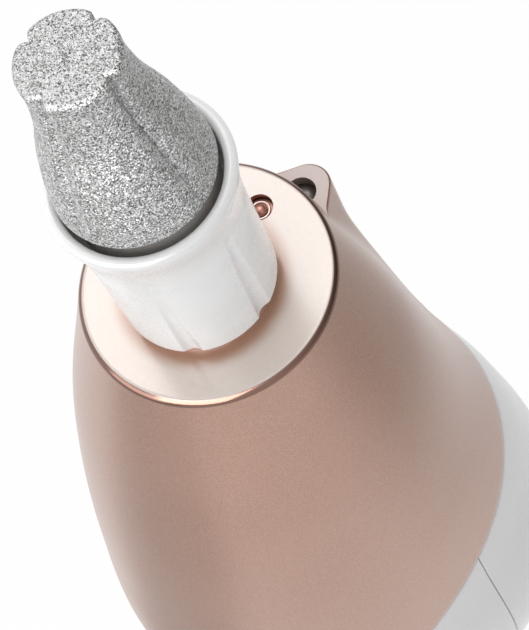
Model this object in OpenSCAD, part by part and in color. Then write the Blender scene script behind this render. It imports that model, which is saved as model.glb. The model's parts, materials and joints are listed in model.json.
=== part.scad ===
// Handheld electric callus remover: a spinning grit head in a fluted collar on a
// metallic nose, with a two-stage spur gearbox, motor, cell and boards inside.
// +Z runs from the flat tail to the tip of the head, which turns on the Z axis.
// -Y is the front, with the work light and the switch.

/* [Body outline] */
// Height of the nose face above the tail
face_z = 106; // [104:0.5:112]
// Radius of the flat nose face
face_r = 13.5; // [13:0.1:14]
// Offset of the nose face towards the back
face_y = -0.6; // [-1:0.1:0]
// Radius of the rounded edge round the nose face
rim_round = 0.6; // [0.5:0.1:1.2]
// Height of the shoulder section
shoulder_z = 88; // [84:0.5:92]
// Width of the shoulder section
shoulder_w = 36.4; // [36:0.2:40]
// Depth of the shoulder section
shoulder_d = 36.4; // [36:0.2:40]
// Offset of the shoulder section towards the back
shoulder_y = 0.8; // [0.2:0.1:1.4]
// Height of the waist section
waist_z = 64; // [60:0.5:68]
// Width of the waist section
waist_w = 42; // [41:0.5:46]
// Depth of the waist section
waist_d = 46; // [44:0.5:50]
// Offset of the waist section towards the back
waist_y = 2; // [1:0.1:3]
// Height of the belly section
belly_z = 44; // [40:0.5:48]
// Width of the belly section
belly_w = 44; // [42:0.5:48]
// Depth of the belly section
belly_d = 53; // [51:0.5:57]
// Offset of the belly section towards the back
belly_y = 1; // [0.5:0.1:1.5]
// Height of the hip section
hip_z = 22; // [20:0.5:24]
// Width of the hip section
hip_w = 45; // [44:0.5:50]
// Depth of the hip section
hip_d = 49; // [48:0.5:54]
// Offset of the hip section towards the back
hip_y = -2.5; // [-3:0.1:-2]
// Width of the flat tail
tail_w = 32; // [31:0.5:36]
// Depth of the flat tail
tail_d = 34; // [32:0.5:38]
// Offset of the tail towards the back
tail_y = -1; // [-1.5:0.1:0]
// Radius of the rounded edge round the tail
tail_round = 2; // [1:0.1:3]
// Power of the rounded section: 2 is an ellipse
section_power = 2.15; // [2:0.05:2.3]

/* [Shells] */
// Wall of the nose shell
nose_wall = 2; // [1.6:0.1:2.4]
// Wall of the two handle shells
handle_wall = 2.2; // [2:0.1:2.6]
// Height of the nose's lower edge where it crosses the head axis
edge_z = 47.4; // [45:0.2:50]
// Fall of the nose's lower edge for each millimetre towards the back
edge_fall = 0.327; // [0.2:0.01:0.4]
// Height of the lip that the handle shells put inside the nose
lip_height = 4; // [2:0.5:6]
// Wall of that lip
lip_wall = 1.1; // [0.8:0.1:1.4]
// Clearance between the lip and the nose shell
lip_clear = 0.1; // [0.05:0.01:0.2]
// Place of the seam plane between the front and back handle shells
seam_y = -4; // [-4.4:0.1:-3.4]

/* [Work light hood] */
// Drop of the hood's top below the nose face
hood_drop = 3; // [2:0.1:4]
// Distance of the hood's rounded edge's centre in front of the head axis
hood_y = 15.5; // [15.2:0.1:16]
// Radius of the hood's rounded edge
hood_r = 2.5; // [2.2:0.1:2.8]
// Half width of the hood where it meets the nose
hood_half_w = 4.6; // [4:0.1:5.4]
// Distance of the light's axis in front of the head axis
light_y = 14.5; // [14.3:0.05:14.7]
// Radius of the light's hole
light_hole_r = 1.65; // [1.6:0.05:1.8]
// Depth of the lens below the hood's top
lens_depth = 0.9; // [0.5:0.1:1.4]
// Thickness of the lens
lens_t = 0.8; // [0.5:0.1:1.1]

/* [Fixing screw in the nose face] */
// Distance of the screw in front of the head axis
nose_screw_y = 9.9; // [9.8:0.05:10.2]
// Offset of the screw to the side
nose_screw_x = 0.9; // [0:0.1:1]
// Radius of the screw's recess
recess_r = 1.5; // [1.45:0.05:1.7]
// Depth of the screw's recess
recess_depth = 1.2; // [1:0.1:1.3]

/* [Collar] */
// Gap between the nose face and the foot of the collar
collar_gap = 1.6; // [1:0.1:2.2]
// Height of the collar's rim above the nose face
collar_rim = 24; // [23.5:0.1:24.5]
// Radius of the collar's foot
collar_foot_r = 8.2; // [8.1:0.05:8.6]
// Radius of the collar's rolled rim
collar_rim_r = 9.6; // [9.4:0.05:10]
// Radius of the mouth inside the rim
collar_mouth_r = 8.25; // [8.2:0.05:8.5]
// Number of flutes round the collar
flute_count = 6; // [3:1:7]
// Angle of the first flute
flute_angle = 9; // [0:1:45]
// Radius of a flute
flute_r = 1.3; // [1:0.1:1.6]
// Depth of a flute at the collar's foot
flute_depth = 0.5; // [0.3:0.05:0.6]

/* [Grit head] */
// Height of the head's base above the nose face
head_base = 25.6; // [25.4:0.1:26.4]
// Height of the head's tip above the nose face
head_tip = 46.9; // [44:0.1:50]
// Radius of the head's base
head_base_r = 8.15; // [8:0.05:8.3]
// Radius of the head a third of the way up
head_waist_r = 7.2; // [6.8:0.05:7.4]
// Radius of the head two thirds of the way up
head_neck_r = 5.5; // [5.3:0.05:5.8]
// Radius of the head's tip over its lobes
head_tip_r = 5.1; // [4.9:0.05:5.3]
// Radius of the tip's rounded edge
head_round = 0.6; // [0.3:0.05:0.8]
// Number of grooves along the head
groove_count = 4; // [3:1:6]
// Depth of a groove at the tip
groove_depth = 0.5; // [0.3:0.05:0.8]
// Angle of the first groove
groove_angle = 9; // [0:1:45]
// Wall of the grit-coated shell
grit_wall = 1.2; // [1:0.05:1.4]

/* [Drive] */
// Gear module
gear_module = 0.35; // [0.34:0.005:0.36]
// Teeth of each small gear
small_teeth = 12; // [12:1:12]
// Teeth of each large gear
large_teeth = 36; // [36:1:36]
// Thickness taken off each tooth for backlash
backlash = 0.04; // [0.02:0.01:0.08]
// Width of the large gears
gear_width = 2.4; // [2:0.1:2.6]
// Radius of the drive shaft
shaft_r = 2; // [1.8:0.05:2.2]
// Half thickness of the flats at the shaft's end
flat_half = 1.3; // [1.1:0.05:1.5]
// Radius of the layshaft
layshaft_r = 0.75; // [0.6:0.05:0.9]
// Radius of the motor shaft
motor_shaft_r = 0.75; // [0.6:0.05:0.9]
// Radial clearance of a running fit
running = 0.04; // [0.02:0.01:0.08]
// Height of the gear case's floor above the tail
case_z = 81; // [79:0.5:82]
// Wall of the gear case
case_wall = 1.2; // [1:0.1:1.4]

/* [Motor and cell] */
// Radius of the motor can
motor_r = 10; // [9.5:0.1:10.2]
// Length of the motor can with its end cap
motor_length = 19.5; // [17:0.5:20]
// Radius of the cell
cell_r = 7.1; // [6.8:0.05:7.2]
// Length of the cell
cell_length = 49; // [44:0.5:49.5]
// Distance of the cell's axis behind the head axis
cell_y = 5; // [4.8:0.1:6]
// Height of the cell's lower end
cell_z = 10; // [9.6:0.1:10.4]

/* [Switch] */
// Height of the button's middle when off
switch_z = 38; // [36:0.5:40]
// Travel of the button
switch_travel = 4; // [2:0.5:4]
// Width of the button
button_w = 7.4; // [6:0.1:8]
// Length of the button
button_l = 8; // [7:0.5:9]

/* [Hidden] */
$fn = 48;

// Small shared sizes
eps = 0.01;
far = 200;
fit = 0.05;
press = 0.01;
rose = "rosybrown";

// Outline of the body: height, half width, half depth and centre of each section
SECTIONS = [
    [0, tail_w / 2, tail_d / 2, tail_y],
    [hip_z, hip_w / 2, hip_d / 2, hip_y],
    [belly_z, belly_w / 2, belly_d / 2, belly_y],
    [waist_z, waist_w / 2, waist_d / 2, waist_y],
    [shoulder_z, shoulder_w / 2, shoulder_d / 2, shoulder_y],
    [face_z, face_r, face_r, face_y]
];
last_section = len(SECTIONS) - 1;
ring_points = 56;
handle_steps = 9;
nose_steps = 9;

function gap(i) = SECTIONS[i + 1][0] - SECTIONS[i][0];
function rise(i, k) = (SECTIONS[i + 1][k] - SECTIONS[i][k]) / gap(i);
function slope(i, k) =
    i == 0 ? rise(0, k)
    : i == last_section ? rise(i - 1, k)
    : (rise(i - 1, k) * gap(i) + rise(i, k) * gap(i - 1)) / (gap(i - 1) + gap(i));
function section_below(z) = max([for (i = [0:last_section - 1]) if (i == 0 || SECTIONS[i][0] <= z) i]);
// Size k of the body's section at height z, on a smooth curve through the sections
function size_at(z, k) =
    let (i = section_below(z), t = (z - SECTIONS[i][0]) / gap(i))
    (2 * pow(t, 3) - 3 * pow(t, 2) + 1) * SECTIONS[i][k]
    + (pow(t, 3) - 2 * pow(t, 2) + t) * gap(i) * slope(i, k)
    + (3 * pow(t, 2) - 2 * pow(t, 3)) * SECTIONS[i + 1][k]
    + (pow(t, 3) - pow(t, 2)) * gap(i) * slope(i + 1, k);
function signed_power(v, p) = sign(v) * pow(abs(v), p);
// How far an edge of radius r draws the outline in, at a distance d from the end
function drawn_in(r, d) = d >= r ? 0 : r - sqrt(max(0, r * r - pow(r - d, 2)));
function end_inset(z) = drawn_in(tail_round, z) + drawn_in(rim_round, face_z - z);
// Point of the body at angle a and height z, with the wall drawn in by inset
function body_point(a, z, inset) =
    let (draw = inset + end_inset(z))
    [(size_at(z, 1) - draw) * signed_power(cos(a), 2 / section_power),
     size_at(z, 3) + (size_at(z, 2) - draw) * signed_power(sin(a), 2 / section_power), z];
function edge_at(y) = edge_z - edge_fall * y;
// Height of the slanted edge at angle a, lifted by lift
function edge_height(a, inset, lift, tries = 4) =
    tries == 0 ? edge_z + lift
    : edge_at(body_point(a, edge_height(a, inset, lift, tries - 1), inset)[1]) + lift;
function ring_angle(j) = 360 * (j + 0.5) / ring_points;
function flat_ring(z, inset) = [for (j = [0:ring_points - 1]) body_point(ring_angle(j), z, inset)];
// Ring a share t of the way from height z to the slanted edge lifted by lift
function slanted_ring(z, t, inset, lift) = [for (j = [0:ring_points - 1])
    let (a = ring_angle(j), top = edge_height(a, inset, lift))
    body_point(a, z + t * (top - z), inset)];

// Closed solid through a list of rings, from the lowest to the highest
module stack(rings) {
    n = len(rings[0]);
    m = len(rings);
    polyhedron(
        points = [for (ring = rings) for (p = ring) p],
        faces = concat(
            [[for (j = [0:n - 1]) j]],
            [for (i = [0:m - 2]) for (j = [0:n - 1])
                [i * n + j, (i + 1) * n + j, i * n + (j + 1) % n]],
            [for (i = [0:m - 2]) for (j = [0:n - 1])
                [i * n + (j + 1) % n, (i + 1) * n + j, (i + 1) * n + (j + 1) % n]],
            [[for (j = [n - 1:-1:0]) (m - 1) * n + j]]
        )
    );
}

// Rounded edges take a few rings of their own
round_steps = [0, 0.12, 0.4];

// The tail end of the body up to the slanted edge, drawn in by inset
module handle_block(inset, floor_z, lift) {
    start = inset == 0 ? tail_round : floor_z;
    stack(concat(
        inset == 0 ? [for (s = round_steps) flat_ring(s * tail_round, 0)] : [],
        [for (i = [0:handle_steps]) slanted_ring(start, i / handle_steps, inset, lift)]
    ));
}
// The nose end of the body from the slanted edge up to top_z, drawn in by inset
module nose_block(inset, top_z, lift) {
    end = inset == 0 ? face_z - rim_round : top_z;
    stack(concat(
        [for (i = [nose_steps:-1:0]) slanted_ring(end, i / nose_steps, inset, lift)],
        inset == 0 ? [for (i = [len(round_steps) - 1:-1:0])
            flat_ring(face_z - round_steps[i] * rim_round, 0)] : []
    ));
}

// A flat shape with round ends, long along X, extruded up
module slot_bar(length, width, height) {
    linear_extrude(height) {
        square([length - width, width], center = true);
        for (s = [-1, 1])
            translate([s * (length - width) / 2, 0]) circle(d = width);
    }
}
module ring_bar(outer_r, inner_r, height) {
    difference() {
        cylinder(r = outer_r, h = height);
        translate([0, 0, -eps]) cylinder(r = inner_r, h = height + 2 * eps);
    }
}
// A cylinder along +Y from y0 to y1
module along_y(x, z, r, y0, y1) {
    translate([x, y0, z]) rotate([-90, 0, 0]) cylinder(r = r, h = y1 - y0);
}
// A screw pointing down from the seat of its head
module screw_down(head_r, head_h, shank_r, shank_l) {
    cylinder(r = head_r, h = head_h);
    translate([0, 0, -shank_l]) cylinder(r = shank_r, h = shank_l + eps);
}

// ---- Nose ----
hood_top = face_z - hood_drop;
inner_top = face_z - nose_wall;
seat_top = face_z + collar_gap;
hood_foot = waist_z + 12;
hood_root_y = hood_y - 2.3;
boss_r = 2;
nose_boss_foot = face_z - 8;
nose_screw_shank_r = 0.8;
light_floor = hood_top - 7.5;
light_board_w = 3.6;
light_board_t = 1;
light_board_front = light_y + 1.1;
light_board_back = light_y - 2.2;
light_room = 0.2;

module hood_outline() {
    translate([0, -hood_y]) circle(r = hood_r);
    polygon([[-hood_half_w, -hood_root_y], [hood_half_w, -hood_root_y],
        [hood_r * cos(38), -hood_y - hood_r * sin(38)],
        [-hood_r * cos(38), -hood_y - hood_r * sin(38)]]);
}
module nose_shell() {
    color(rose) difference() {
        union() {
            difference() {
                union() {
                    nose_block(0, face_z, 0);
                    translate([0, 0, hood_foot])
                        linear_extrude(hood_top - hood_foot) hood_outline();
                }
                nose_block(nose_wall, inner_top, -eps);
            }
            translate([0, 0, face_z - eps]) cylinder(r = seat_r, h = collar_gap + eps);
            translate([nose_screw_x, -nose_screw_y, nose_boss_foot])
                cylinder(r = boss_r, h = face_z - nose_boss_foot - nose_wall / 2);
        }
        translate([0, 0, inner_top - 1]) cylinder(r = sleeve_r + fit, h = far);
        translate([nose_screw_x, -nose_screw_y, 0]) {
            translate([0, 0, face_z - recess_depth]) cylinder(r = recess_r, h = far);
            cylinder(r = nose_screw_shank_r + 0.1, h = face_z);
        }
        translate([0, -light_y, light_floor]) cylinder(r = light_hole_r, h = hood_top + eps - light_floor);
        translate([-light_board_w / 2 - light_room, -light_board_front - light_room, light_floor])
            cube([light_board_w + 2 * light_room, light_board_front - light_board_back + 2,
                light_board_t + light_room]);
    }
}
module nose_screw() {
    head_h = 0.45;
    dome_r = 0.72;
    translate([nose_screw_x, -nose_screw_y, face_z - recess_depth]) color("sienna") {
        screw_down(recess_r - 0.12, head_h, nose_screw_shank_r, face_z - recess_depth - nose_boss_foot + 5);
        translate([0, 0, head_h - eps]) intersection() {
            sphere(r = dome_r);
            cylinder(r = dome_r, h = dome_r * 0.8);
        }
    }
}

// ---- Handle shells ----
case_screw_r = 1;
case_screw_head_r = 1.9;
case_screw_seat = 8;
case_screw_end = -14;
case_boss_r = 3;
low_screw = [12.5, 13];
high_screw = [15.5, belly_z - 8];
CASE_SCREWS = [[-low_screw[0], low_screw[1]], [low_screw[0], low_screw[1]],
    [-high_screw[0], high_screw[1]], [high_screw[0], high_screw[1]]];
web_front = seam_y - 0.6;
web_back = seam_y + 1.4;

module handle_skin() {
    difference() {
        handle_block(0, 0, 0);
        handle_block(handle_wall, handle_wall, eps);
    }
    difference() {
        handle_lip(nose_wall + lip_clear);
        handle_lip(nose_wall + lip_clear + lip_wall);
    }
}
// A band round the slanted edge, from just below it to the lip's top
module handle_lip(inset) {
    grow = inset > nose_wall + lip_clear ? 1 : 0;
    stack([slanted_ring(0, 1, inset, -2 - grow), slanted_ring(0, 1, inset, 0),
        slanted_ring(0, 1, inset, lip_height + grow)]);
}
// Bosses for the case screws from y0 to y1, with any pad, kept inside the shell's outer skin
module case_bosses(y0, y1) {
    intersection() {
        union() {
            for (p = CASE_SCREWS) along_y(p[0], p[1], case_boss_r, y0, y1);
            children();
        }
        handle_block(handle_wall / 2, handle_wall / 2, -1);
    }
}
well_depth = 2;
pad_t = 2;
well_w = button_w + 0.6;
well_low = switch_z - button_l / 2 - 0.3;
well_high = switch_z + switch_travel + button_l / 2 + 0.3;
well_y = size_at(well_high, 2) - size_at(well_high, 3) - well_depth;
pad_back = well_y - pad_t;
skin_reach = size_at(well_low, 2) - size_at(well_low, 3);
stem_w = 2.2;
stem_l = 3;
indicator_z = 26;
indicator_r = 1;

module handle_front_shell() {
    color("gainsboro") difference() {
        union() {
            intersection() {
                handle_skin();
                translate([-far, -2 * far, -far]) cube([2 * far, 2 * far + seam_y, 2 * far]);
            }
            case_bosses(-far / 4, web_front)
                translate([-well_w / 2 - 1.5, -skin_reach, well_low - 1.5])
                    cube([well_w + 3, skin_reach - pad_back, well_high - well_low + 3]);
        }
        translate([-well_w / 2, -far, well_low]) cube([well_w, far - well_y, well_high - well_low]);
        translate([-stem_w / 2 - 0.3, -far, switch_z - stem_l / 2 - 0.4])
            cube([stem_w + 0.6, far, stem_l + switch_travel + 0.8]);
        for (p = CASE_SCREWS)
            along_y(p[0], p[1], case_screw_r + fit, case_screw_end - 1, seam_y);
        along_y(0, indicator_z, indicator_r + fit, -far, seam_y);
    }
}
port_y = 5;
port_w = 8.94;
port_h = 3.2;
port_z = 0.6;
port_l = 7.4;
gasket_wall = 0.8;

module handle_back_shell() {
    color("gainsboro") difference() {
        union() {
            intersection() {
                handle_skin();
                translate([-far, seam_y, -far]) cube([2 * far, 2 * far, 2 * far]);
            }
            case_bosses(web_back, far / 4);
        }
        for (p = CASE_SCREWS) {
            along_y(p[0], p[1], case_screw_r + 0.1, seam_y - 1, far);
            along_y(p[0], p[1], case_screw_head_r + 0.2, case_screw_seat, far);
        }
        translate([0, port_y, -1])
            slot_bar(port_w + 2 * gasket_wall + 4 * fit, port_h + 2 * gasket_wall + 4 * fit,
                handle_wall + 2);
    }
}
module case_screws() {
    color("silver") for (p = CASE_SCREWS)
        translate([p[0], case_screw_seat, p[1]]) rotate([-90, 0, 0])
            screw_down(case_screw_head_r, 1.5, case_screw_r, case_screw_seat - case_screw_end);
}

// ---- Gearbox ----
addendum = 0.8;
dedendum = 1.2;
pressure = 20;
small_pitch = gear_module * small_teeth / 2;
large_pitch = gear_module * large_teeth / 2;
centres = small_pitch + large_pitch;
small_tip = small_pitch + addendum * gear_module;
large_tip = large_pitch + addendum * gear_module;
case_inner_r = large_tip + 0.5;
case_outer_r = case_inner_r + case_wall;
small_room_r = small_tip + 0.6;
case_floor = case_z + 2;
stage_two = case_floor + 3.5;
cover_ceiling = stage_two + 3.8;
cover_top = cover_ceiling + case_wall;
play = 0.1;
ear_x = 12;
ear_r = 2.7;
case_screw2_r = 1;
case_screw2_head_r = 1.9;
post_top = stage_two + 1.5;
bush_r = shaft_r + 1.4;
bush_top = cover_top + 1.8;

function turn(p, a) = [p[0] * cos(a) - p[1] * sin(a), p[0] * sin(a) + p[1] * cos(a)];
// Roll angle in degrees at which an involute of the base circle reaches radius r
function roll(base, r) = sqrt(max(0, pow(r / base, 2) - 1)) * 180 / PI;
function involute(base, u) =
    [base * (cos(u) + u * PI / 180 * sin(u)), base * (sin(u) - u * PI / 180 * cos(u))];
function polar(r, a) = [r * cos(a), r * sin(a)];
// Outline of an involute gear with its first tooth on +X
module gear_outline(teeth) {
    pitch = gear_module * teeth / 2;
    base = pitch * cos(pressure);
    tip = pitch + addendum * gear_module;
    root = pitch - dedendum * gear_module;
    u0 = roll(base, max(base, root));
    u1 = roll(base, tip);
    lean = (tan(pressure) * 180 / PI) - pressure;
    half = 90 / teeth - backlash / 2 / pitch * 180 / PI + lean;
    steps = 4;
    flank = [for (i = [0:steps]) turn(involute(base, u0 + (u1 - u0) * i / steps), -half)];
    foot = [polar(root, -half)];
    side = root < base ? concat(foot, flank) : flank;
    polygon([for (k = [0:teeth - 1]) each concat(
        [for (p = side) turn(p, 360 * k / teeth)],
        [for (i = [len(side) - 1:-1:0]) turn([side[i][0], -side[i][1]], 360 * k / teeth)])]);
}
// Space for both gears of a stage, seen along Z
module room(r, lay_r) {
    circle(r = r);
    translate([0, centres]) circle(r = lay_r);
    translate([-lay_r, 0]) square([2 * lay_r, centres]);
}
module gear_case() {
    color("dimgray") difference() {
        union() {
            translate([0, 0, case_z]) linear_extrude(stage_two - case_z) room(case_outer_r, case_outer_r);
            for (s = [-1, 1]) translate([s * ear_x, 0, case_z]) cylinder(r = ear_r, h = case_floor - case_z);
            translate([-ear_x, -ear_r, case_z]) cube([2 * ear_x, 2 * ear_r, case_floor - case_z]);
        }
        translate([0, 0, case_floor]) linear_extrude(far) room(case_inner_r, case_inner_r);
        translate([0, 0, -eps]) cylinder(r = motor_boss_r + fit, h = far);
        translate([0, centres, case_z + 0.6]) cylinder(r = layshaft_r + press, h = far);
        for (s = [-1, 1]) {
            translate([s * ear_x, 0, 0]) cylinder(r = case_screw2_r + 0.1, h = far);
            translate([s * motor_screw_x, -motor_screw_y, 0]) cylinder(r = motor_screw_r + 0.1, h = far);
        }
    }
}
module gear_case_cover() {
    color("dimgray") difference() {
        union() {
            translate([0, 0, stage_two]) linear_extrude(0.8) room(case_outer_r, case_outer_r);
            translate([0, 0, stage_two]) linear_extrude(cover_top - stage_two)
                room(case_outer_r, small_room_r + case_wall);
            cylinder(r = bush_r + 1.8, h = bush_top);
            for (s = [-1, 1]) translate([s * ear_x, 0, case_floor])
                cylinder(r = ear_r, h = post_top - case_floor);
            translate([-ear_x, -ear_r, stage_two]) cube([2 * ear_x, 2 * ear_r, post_top - stage_two]);
            translate([nose_screw_x, -nose_screw_y, stage_two])
                cylinder(r = boss_r + 0.2, h = nose_boss_foot - stage_two);
        }
        translate([0, 0, -far + stage_two]) cylinder(r = case_outer_r + 0.4, h = far);
        translate([0, 0, stage_two - eps]) linear_extrude(cover_ceiling - stage_two + eps)
            room(case_inner_r, small_room_r);
        cylinder(r = bush_r + press, h = far);
        translate([0, centres, 0]) cylinder(r = layshaft_r + press, h = cover_ceiling + 0.8);
        for (s = [-1, 1]) translate([s * ear_x, 0, 0]) cylinder(r = case_screw2_r + 0.1, h = far);
        translate([nose_screw_x, -nose_screw_y, stage_two + 2])
            cylinder(r = nose_screw_shank_r + fit, h = far);
    }
}
module gear_case_screws() {
    color("silver") for (s = [-1, 1]) translate([s * ear_x, 0, post_top])
        screw_down(case_screw2_head_r, 1.4, case_screw2_r, post_top - case_z + 8);
}
module layshaft() {
    color("silver") translate([0, centres, case_z + 0.6])
        cylinder(r = layshaft_r, h = cover_ceiling + 0.8 - case_z - 0.6);
}
module compound_gear() {
    foot = case_floor + play;
    wheel = stage_two - 0.5 - gear_width;
    color("ivory") translate([0, centres, 0]) difference() {
        union() {
            translate([0, 0, wheel]) linear_extrude(gear_width)
                rotate(90 + 180 / large_teeth) gear_outline(large_teeth);
            translate([0, 0, wheel + gear_width - eps])
                linear_extrude(cover_ceiling - 0.4 - wheel - gear_width) gear_outline(small_teeth);
            translate([0, 0, foot]) cylinder(r = 1.4, h = cover_ceiling - play - foot);
        }
        cylinder(r = layshaft_r + running, h = far);
    }
}
module motor_pinion() {
    color("goldenrod") translate([0, 0, case_floor + 0.4]) difference() {
        linear_extrude(stage_two - case_floor - 0.8) gear_outline(small_teeth);
        translate([0, 0, -1]) cylinder(r = motor_shaft_r + press, h = far);
    }
}
module output_gear() {
    foot = stage_two + 0.9;
    color("ivory") translate([0, 0, foot]) difference() {
        union() {
            linear_extrude(gear_width) rotate(180 / large_teeth) gear_outline(large_teeth);
            cylinder(r = 3.2, h = cover_ceiling - play - foot);
        }
        translate([0, 0, -1]) cylinder(r = shaft_r + press, h = far);
    }
}
module rear_bush() {
    color("peru") translate([0, 0, cover_ceiling])
        ring_bar(bush_r, shaft_r + running, bush_top - cover_ceiling);
}

// ---- Shaft and nose socket ----
sleeve_r = 6.4;
seat_r = 7.4;
bearing_r = 4.5;
bearing_t = 3;
bearing_z = face_z + 2.5;
seal_t = 1.5;
sleeve_top = bearing_z + bearing_t + seal_t + 0.6;
sleeve_foot_r = 5.4;
shaft_room_r = 3.3;
flats_z = sleeve_top + 1;
shaft_top = flats_z + 6.4;

module socket_sleeve() {
    color("slategray") difference() {
        union() {
            translate([0, 0, bush_top]) cylinder(r = sleeve_foot_r, h = inner_top - bush_top);
            translate([0, 0, inner_top - 2]) cylinder(r = seat_r + 0.2, h = 2);
            translate([0, 0, inner_top - eps]) cylinder(r = sleeve_r, h = sleeve_top - inner_top + eps);
        }
        cylinder(r = shaft_room_r, h = far);
        translate([0, 0, bearing_z]) cylinder(r = bearing_r + press, h = far);
    }
}
module drive_shaft() {
    color("silver") {
        translate([0, 0, stage_two + 0.5]) cylinder(r = shaft_r, h = flats_z - stage_two - 0.5);
        translate([0, 0, bearing_z - 1.3]) cylinder(r = shaft_r + 0.9, h = 1.3 - play);
        intersection() {
            translate([0, 0, flats_z - eps]) cylinder(r = shaft_r, h = shaft_top - flats_z);
            translate([-far / 2, -flat_half, 0]) cube([far, 2 * flat_half, far]);
        }
    }
}
module front_bearing() {
    color("lightgray") translate([0, 0, bearing_z]) ring_bar(bearing_r, shaft_r + running, bearing_t);
}
module shaft_seal() {
    color("black") translate([0, 0, bearing_z + bearing_t])
        ring_bar(bearing_r, shaft_r + 0.1, seal_t);
}

// ---- Collar and head ----
collar_foot = seat_top;
collar_rim_z = face_z + collar_rim;
lip_roll = (collar_rim_r - collar_mouth_r) / 2;
web_z = sleeve_top + 2.4;
web_t = 3;
spindle_r = 3.5;
spindle_foot = sleeve_top + 0.8;
head_base_z = face_z + head_base;
head_tip_z = face_z + head_tip;
hub_r = collar_mouth_r - 0.95;
hub_foot = web_z + web_t + 0.2;
hub_disc = collar_rim_z - 4;
clip_r = 4.7;
clip_t = 0.6;
collar_bore_r = sleeve_r + fit;
bush_wall = 1.4;

module collar() {
    flare_z = collar_rim_z - 7;
    color("whitesmoke") difference() {
        rotate_extrude() difference() {
            union() {
                polygon([[0, collar_foot], [collar_foot_r, collar_foot], [collar_foot_r + 0.25, flare_z],
                    [collar_foot_r + 0.5, flare_z + 3], [collar_rim_r - 0.35, collar_rim_z - lip_roll],
                    [collar_rim_r - lip_roll, collar_rim_z], [0, collar_rim_z]]);
                translate([collar_rim_r - lip_roll, collar_rim_z]) circle(r = lip_roll);
            }
            translate([0, collar_foot - 1]) square([collar_bore_r, web_z - collar_foot + 1]);
            polygon([[0, web_z + web_t], [collar_bore_r, web_z + web_t],
                [collar_bore_r + 0.4, hub_disc - 1.5], [collar_mouth_r - 0.3, hub_disc - 0.6],
                [collar_mouth_r, collar_rim_z], [collar_mouth_r, collar_rim_z + 2], [0, collar_rim_z + 2]]);
        }
        cylinder(r = spindle_r + running + bush_wall + press, h = far);
        for (k = [0:flute_count - 1]) rotate(flute_angle + 360 * k / flute_count)
            translate([collar_foot_r - flute_depth + flute_r, 0, collar_foot - 1]) rotate([0, 1.6, 0])
                cylinder(r = flute_r, h = flare_z + 4 - collar_foot);
    }
}
module head_bush() {
    color("peru") translate([0, 0, web_z])
        ring_bar(spindle_r + running + bush_wall, spindle_r + running, web_t);
}
module head_spindle() {
    clip_z = web_z - clip_t - play;
    color("gray") difference() {
        translate([0, 0, spindle_foot]) cylinder(r = spindle_r, h = hub_disc + 2 - spindle_foot);
        translate([0, 0, clip_z]) ring_bar(spindle_r + 1, spindle_r - 0.6, clip_t);
        intersection() {
            cylinder(r = shaft_r + 0.1, h = shaft_top + 0.4);
            translate([-far / 2, -flat_half - 0.1, 0]) cube([far, 2 * flat_half + 0.2, far]);
        }
        cylinder(r = shaft_r + 0.1, h = flats_z + 0.3);
    }
}
module retaining_clip() {
    color("silver") translate([0, 0, web_z - clip_t - play]) difference() {
        cylinder(r = clip_r, h = clip_t);
        translate([0, 0, -1]) cylinder(r = spindle_r - 0.6 + press, h = 3);
        translate([0, -1.6, -1]) cube([far, 3.2, 3]);
    }
}
module head_hub() {
    color("dimgray") difference() {
        union() {
            translate([0, 0, hub_foot]) cylinder(r = spindle_r + 1.3, h = hub_disc - hub_foot + eps);
            translate([0, 0, hub_disc]) cylinder(r = hub_r, h = head_base_z - hub_disc);
        }
        cylinder(r = spindle_r + press, h = hub_disc + 2);
    }
}
// Radius of the head between its grooves, a share t of the way up
function head_r(t) =
    let (k = t * 3, i = min(2, floor(k)), s = k - i,
        knots = [head_base_r, head_waist_r, head_neck_r, head_tip_r],
        m0 = i == 0 ? 0 : (knots[i + 1] - knots[i - 1]) / 2,
        m1 = i == 2 ? tip_flare : (knots[i + 2] - knots[i]) / 2)
    (2 * pow(s, 3) - 3 * pow(s, 2) + 1) * knots[i] + (pow(s, 3) - 2 * pow(s, 2) + s) * m0
    + (3 * pow(s, 2) - 2 * pow(s, 3)) * knots[i + 1] + (pow(s, 3) - pow(s, 2)) * m1;
// Grooves fade out towards the base; each is a narrow dip
function groove(t, a) =
    groove_depth * pow(t, 0.7) * pow(max(0, cos(groove_count * (a - groove_angle))), groove_power);
function head_ring(z) =
    let (t = (z - head_base_z) / (head_tip_z - head_base_z),
        draw = drawn_in(head_round, head_tip_z - z) + drawn_in(head_round, z - head_base_z))
    [for (j = [0:head_points - 1]) let (a = 360 * j / head_points, r = head_r(t) - groove(t, a) - draw)
        [r * cos(a), r * sin(a), z]];
tip_flare = 0.8;
groove_power = 8;
head_points = 80;
head_steps = 12;
core_gap = 0.05;
core_top = head_tip_z - 2;

module grit_head() {
    body = head_tip_z - head_base_z - 2 * head_round;
    color("darkgray") difference() {
        stack(concat(
            [for (s = [0, 0.3]) head_ring(head_base_z + s * head_round)],
            [for (i = [0:head_steps]) head_ring(head_base_z + head_round + body * i / head_steps)],
            [for (s = [0.3, 0]) head_ring(head_tip_z - s * head_round)]
        ));
        core_shape(core_gap);
    }
}
// The plain core inside the grit-coated shell, grown by grow
module core_shape(grow) {
    foot = head_base_z;
    rotate_extrude() polygon([[0, foot - grow * 20],
        [head_base_r - grit_wall - 0.8 + grow, foot - grow * 20],
        [head_base_r - grit_wall - 0.8 + grow, foot + 0.5],
        [head_waist_r - grit_wall - groove_depth / 2 + grow, foot + (core_top - foot) * 0.36],
        [head_tip_r - grit_wall - groove_depth + grow, core_top - 3],
        [head_tip_r - grit_wall - groove_depth + grow, core_top + grow], [0, core_top + grow]]);
}
module head_core() {
    color("white") core_shape(0);
}

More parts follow.
